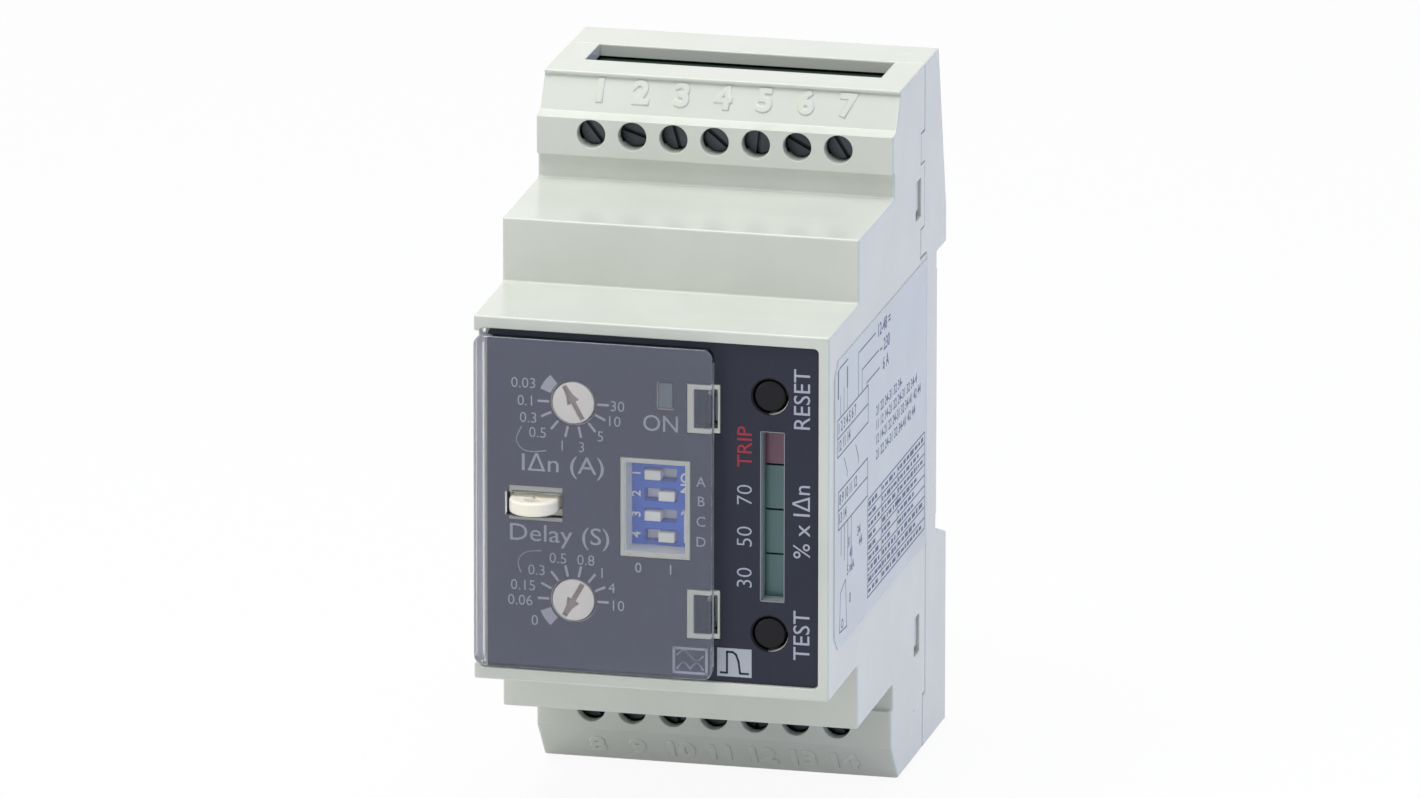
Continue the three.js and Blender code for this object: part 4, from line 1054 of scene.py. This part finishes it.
sign_border = [(3.1, -20.0), (7.1, -20.0), (7.1, -17.0), (3.1, -17.0)]
sign_marks = [polyline_mesh(at_mm(sign_border), 0.3 * mm, closed=True),
              polyline_mesh(at_mm(wave_points(5.1, -17.85, 3.2, 0.575)), 0.2 * mm),
              polyline_mesh(at_mm(wave_points(5.1, -19.55, 3.2, 0.8, abs, 20)), 0.2 * mm)]
one_piece("wave_sign", [on_front(mesh) for mesh in sign_marks], white_ink)
square = on_front(bar_mesh(4.2 * mm, 3.5 * mm), 10.4 * mm, -18.5 * mm)
one_piece("pulse_sign_ground", [square], sign_ground_ink)
pulse = at_mm([(8.7, -19.8), (9.5, -19.8), (9.5, -17.2), (10.2, -17.2), (10.6, -17.5), (10.9, -18.3),
               (11.1, -19.8), (12.1, -19.8)])
pulse_line = on_front(polyline_mesh(pulse, 0.26 * mm), y=plate_y - ink_height)
one_piece("pulse_sign", [pulse_line], plate_film)
print("points along the pulse:", len(pulse))

# %% [markdown]
# The data label on the right side is printed in grey: a small wiring diagram, two terminal tables,
# rows of figures and a dense table. At this size they read as texture, so they are drawn as lines,
# terminal numbers and short bars. Every place is in millimetres: depth first, then height.

# %% Helpers for the side label
label_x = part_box("side_label")[1].x
on_its_side = Matrix.Rotation(math.radians(90), 4, "Z") @ stand_up
fixed = random.Random(11)
label_marks = []


def on_side(mesh, y=0.0, z=0.0):
    """Places a flat mark on the label, with its X axis running back along the side."""
    mesh.transform(Matrix.Translation((label_x, y * mm, z * mm)) @ on_its_side)
    label_marks.append(mesh)


def side_line(points, width=0.17, closed=False):
    on_side(polyline_mesh(at_mm(points), width * mm, closed))


def side_figures(text, height, y, z):
    """Figures that start at a depth y."""
    mesh = letter_mesh(text, height * mm, weight=0.012)
    start = min(vert.co.x for vert in mesh.vertices)
    on_side(mesh, y - start / mm, z)


def side_table(y0, y1, heights, columns):
    """Lines across at each height and lines down at each column."""
    for z in heights:
        side_line([(y0, z), (y1, z)])
    for y in columns:
        side_line([(y, heights[0]), (y, heights[-1])])


print("the label's face is at x in mm:", round(label_x / mm, 2))

# %% [markdown]
# At the top is the wiring diagram: a transformer drawn as a frame with three leads, and three lines
# that run to the figures of the supply and the contacts. The two terminal tables lie below it.

# %% Wiring diagram and terminal tables
side_line([(-52.7, 17.4), (-48.6, 17.4)])
for y, z_high, z_low, width in ((-53.7, 17.1, 13.9, 0.5), (-48.9, 16.4, 14.1, 0.5), (-52.5, 13.9, 11.4, 0.13),
                                (-50.7, 14.5, 11.4, 0.13), (-48.9, 14.0, 11.4, 0.13)):
    side_line([(y, z_high), (y, z_low)], width)
for points in ([(-53.7, 17.1), (-52.7, 17.4)], [(-43.0, 11.3), (-43.0, 16.6), (-34.0, 16.6)],
               [(-41.1, 11.3), (-41.1, 14.0), (-32.2, 14.0)], [(-38.5, 11.3), (-38.5, 11.7), (-31.7, 11.7)]):
    side_line(points)
for text, y, z in (("12-48 =", -32.5, 16.4), ("~ 230", -31.5, 13.9), ("6 A", -30.0, 11.6)):
    side_figures(text, 1.5, y, z)
side_table(-54.0, -37.8, (11.2, 8.9, 6.6), (-54.0, -37.8))
side_figures("1 2 3 4 5 6 7", 1.25, -53.4, 10.0)
side_figures("12 11 14", 1.25, -53.4, 7.7)
side_table(-53.5, -38.0, (2.2, -0.1, -2.5), (-53.5, -38.0))
side_figures("8 9 10 11 12", 1.25, -53.0, 1.0)
side_figures("13 14", 1.25, -53.0, -1.3)
print("marks so far:", len(label_marks))

# %% [markdown]
# Between and below the tables are two small switches, the leads of the contacts, and a little
# drawing with a ring in it.

# %% Contacts and the small drawing
ring_radius, ring_steps = 0.5, 10
for y in (-52.0, -50.3, -48.5, -46.6):
    side_line([(y, -2.5), (y, -6.0 - 0.6 * (y + 52))])
for y in (-49.5, -43.5):
    side_line([(y - 0.9, 5.6), (y + 0.6, 3.6)])
    side_line([(y + 0.6, 3.0), (y + 0.6, 3.6)])
for y, z, text in ((-48.6, -5.5, "31"), (-43.4, -5.5, "34"), (-42.6, -7.0, "44"), (-47.5, -7.1, "41"),
                   (-48.9, -8.8, "5 mA")):
    side_figures(text, 1.2, y, z)
side_line([(-52.7, -15.4), (-52.3, -10.6), (-49.6, -9.6), (-48.9, -15.6)], closed=True)
side_line(arc_points(-51.3, -14.6, ring_radius, 0, 360, ring_steps)[:ring_steps], closed=True)
side_figures("0", 1.2, -47.6, -12.6)
print("marks so far:", len(label_marks))

# %% [markdown]
# Right of the tables stand four rows of contact numbers, each drawn out to its length, and below
# them is the dense table. Its rows are filled with bars of chance lengths from a fixed seed.

# %% Rows of numbers and the dense table
row_pitch, text_drop = 1.35, 0.68
text_spans = ((-37.5, -31.0), (-30.1, -22.5), (-21.6, -7.8))
contact_row = "11 12 14-21 22 24-31 32 34-41 42 44"
for z, length, text in ((6.7, 14.0, contact_row[9:27]), (4.9, 21.8, contact_row[:28]),
                        (3.1, 23.9, contact_row[3:35]), (1.2, 21.1, contact_row[9:35])):
    mesh = letter_mesh(text, 1.15 * mm, weight=0.01)
    width = max(vert.co.x for vert in mesh.vertices) - min(vert.co.x for vert in mesh.vertices)
    mesh.transform(Matrix.Diagonal((length * mm / width, 1, 1, 1)))
    on_side(mesh, -33.5 + length / 2, z)
row_heights = [-3.1 - row_pitch * row for row in range(10)]
side_table(-37.9, -7.1, row_heights, (-37.9, -30.5, -22.0, -7.1))
for z in row_heights[:-1]:
    for start, end in text_spans:
        y = start
        stop = end - fixed.uniform(0, 0.45) * (end - start)
        while y < stop:
            length = fixed.uniform(0.5, 1.9)
            bar = bar_mesh(length * mm, fixed.uniform(0.4, 0.62) * mm)
            on_side(bar, y + length / 2, z - text_drop)
            y += length + fixed.uniform(0.35, 0.7)
one_piece("side_label_print", label_marks, grey_ink)
print("marks on the side label:", len(label_marks))

# %% [markdown]
# Numbers of the terminals are moulded into the sloping faces above and below the screws, so they
# are raised from the housing and share its plastic. Two pins of the mould have left a small round
# mark each on the right side.

# %% Moulded terminal numbers
def face_line(near, far):
    """Middle and slope of the sloping face between two corners of the side outline, (y, z)."""
    (y0, z0), (y1, z1) = near, far
    return (y0 + y1) / 2, (z0 + z1) / 2, math.atan2(y1 - y0, z1 - z0)


numeral_height, numeral_weight, numeral_edge = 2.65 * mm, 0.02, 0.16 * mm
numeral_right, upper_rise, lower_rise = 0.35 * mm, 0.35 * mm, 0.2 * mm
pin_radius = 0.16 * mm
upper_face = face_line((-22.4 * mm, 38.5 * mm), (-20.0 * mm, 42.5 * mm))
lower_face = face_line((-24.3 * mm, -38.2 * mm), (-20.4 * mm, -43.0 * mm))
numerals = []


def on_side_wall(y, z):
    """A small round mark of a mould pin on the right side."""
    build = bmesh.new()
    bmesh.ops.create_cone(build, segments=16, radius1=pin_radius, radius2=pin_radius, depth=2 * ink_height,
                          cap_ends=True)
    mesh = as_mesh(build, "dot")
    mesh.transform(Matrix.Translation((housing_high.x, y * mm, z * mm)) @ on_its_side)
    return mesh


for number in range(1, 15):
    screw_x = middle_of(f"terminal_screw_{number:02d}").x
    y, z, slope = upper_face if number <= 7 else lower_face
    numeral = letter_mesh(str(number), numeral_height, weight=numeral_weight, rounding=numeral_edge)
    lean = slope if number <= 7 else slope - math.pi
    rise = upper_rise if number <= 7 else lower_rise
    place = (screw_x + numeral_right, y + rise * math.sin(slope), z + rise * math.cos(slope))
    middle = Matrix.Translation(place)
    numeral.transform(middle @ Matrix.Rotation(-lean, 4, "X") @ stand_up)
    numerals.append(numeral)
one_piece("terminal_numerals", numerals, housing_plastic)
dots = [on_side_wall(y, z) for y, z in ((-7.32, 34.76), (-11.94, -36.97))]
one_piece("side_pin_marks", dots, well_plastic)
print("numerals:", len(numerals))
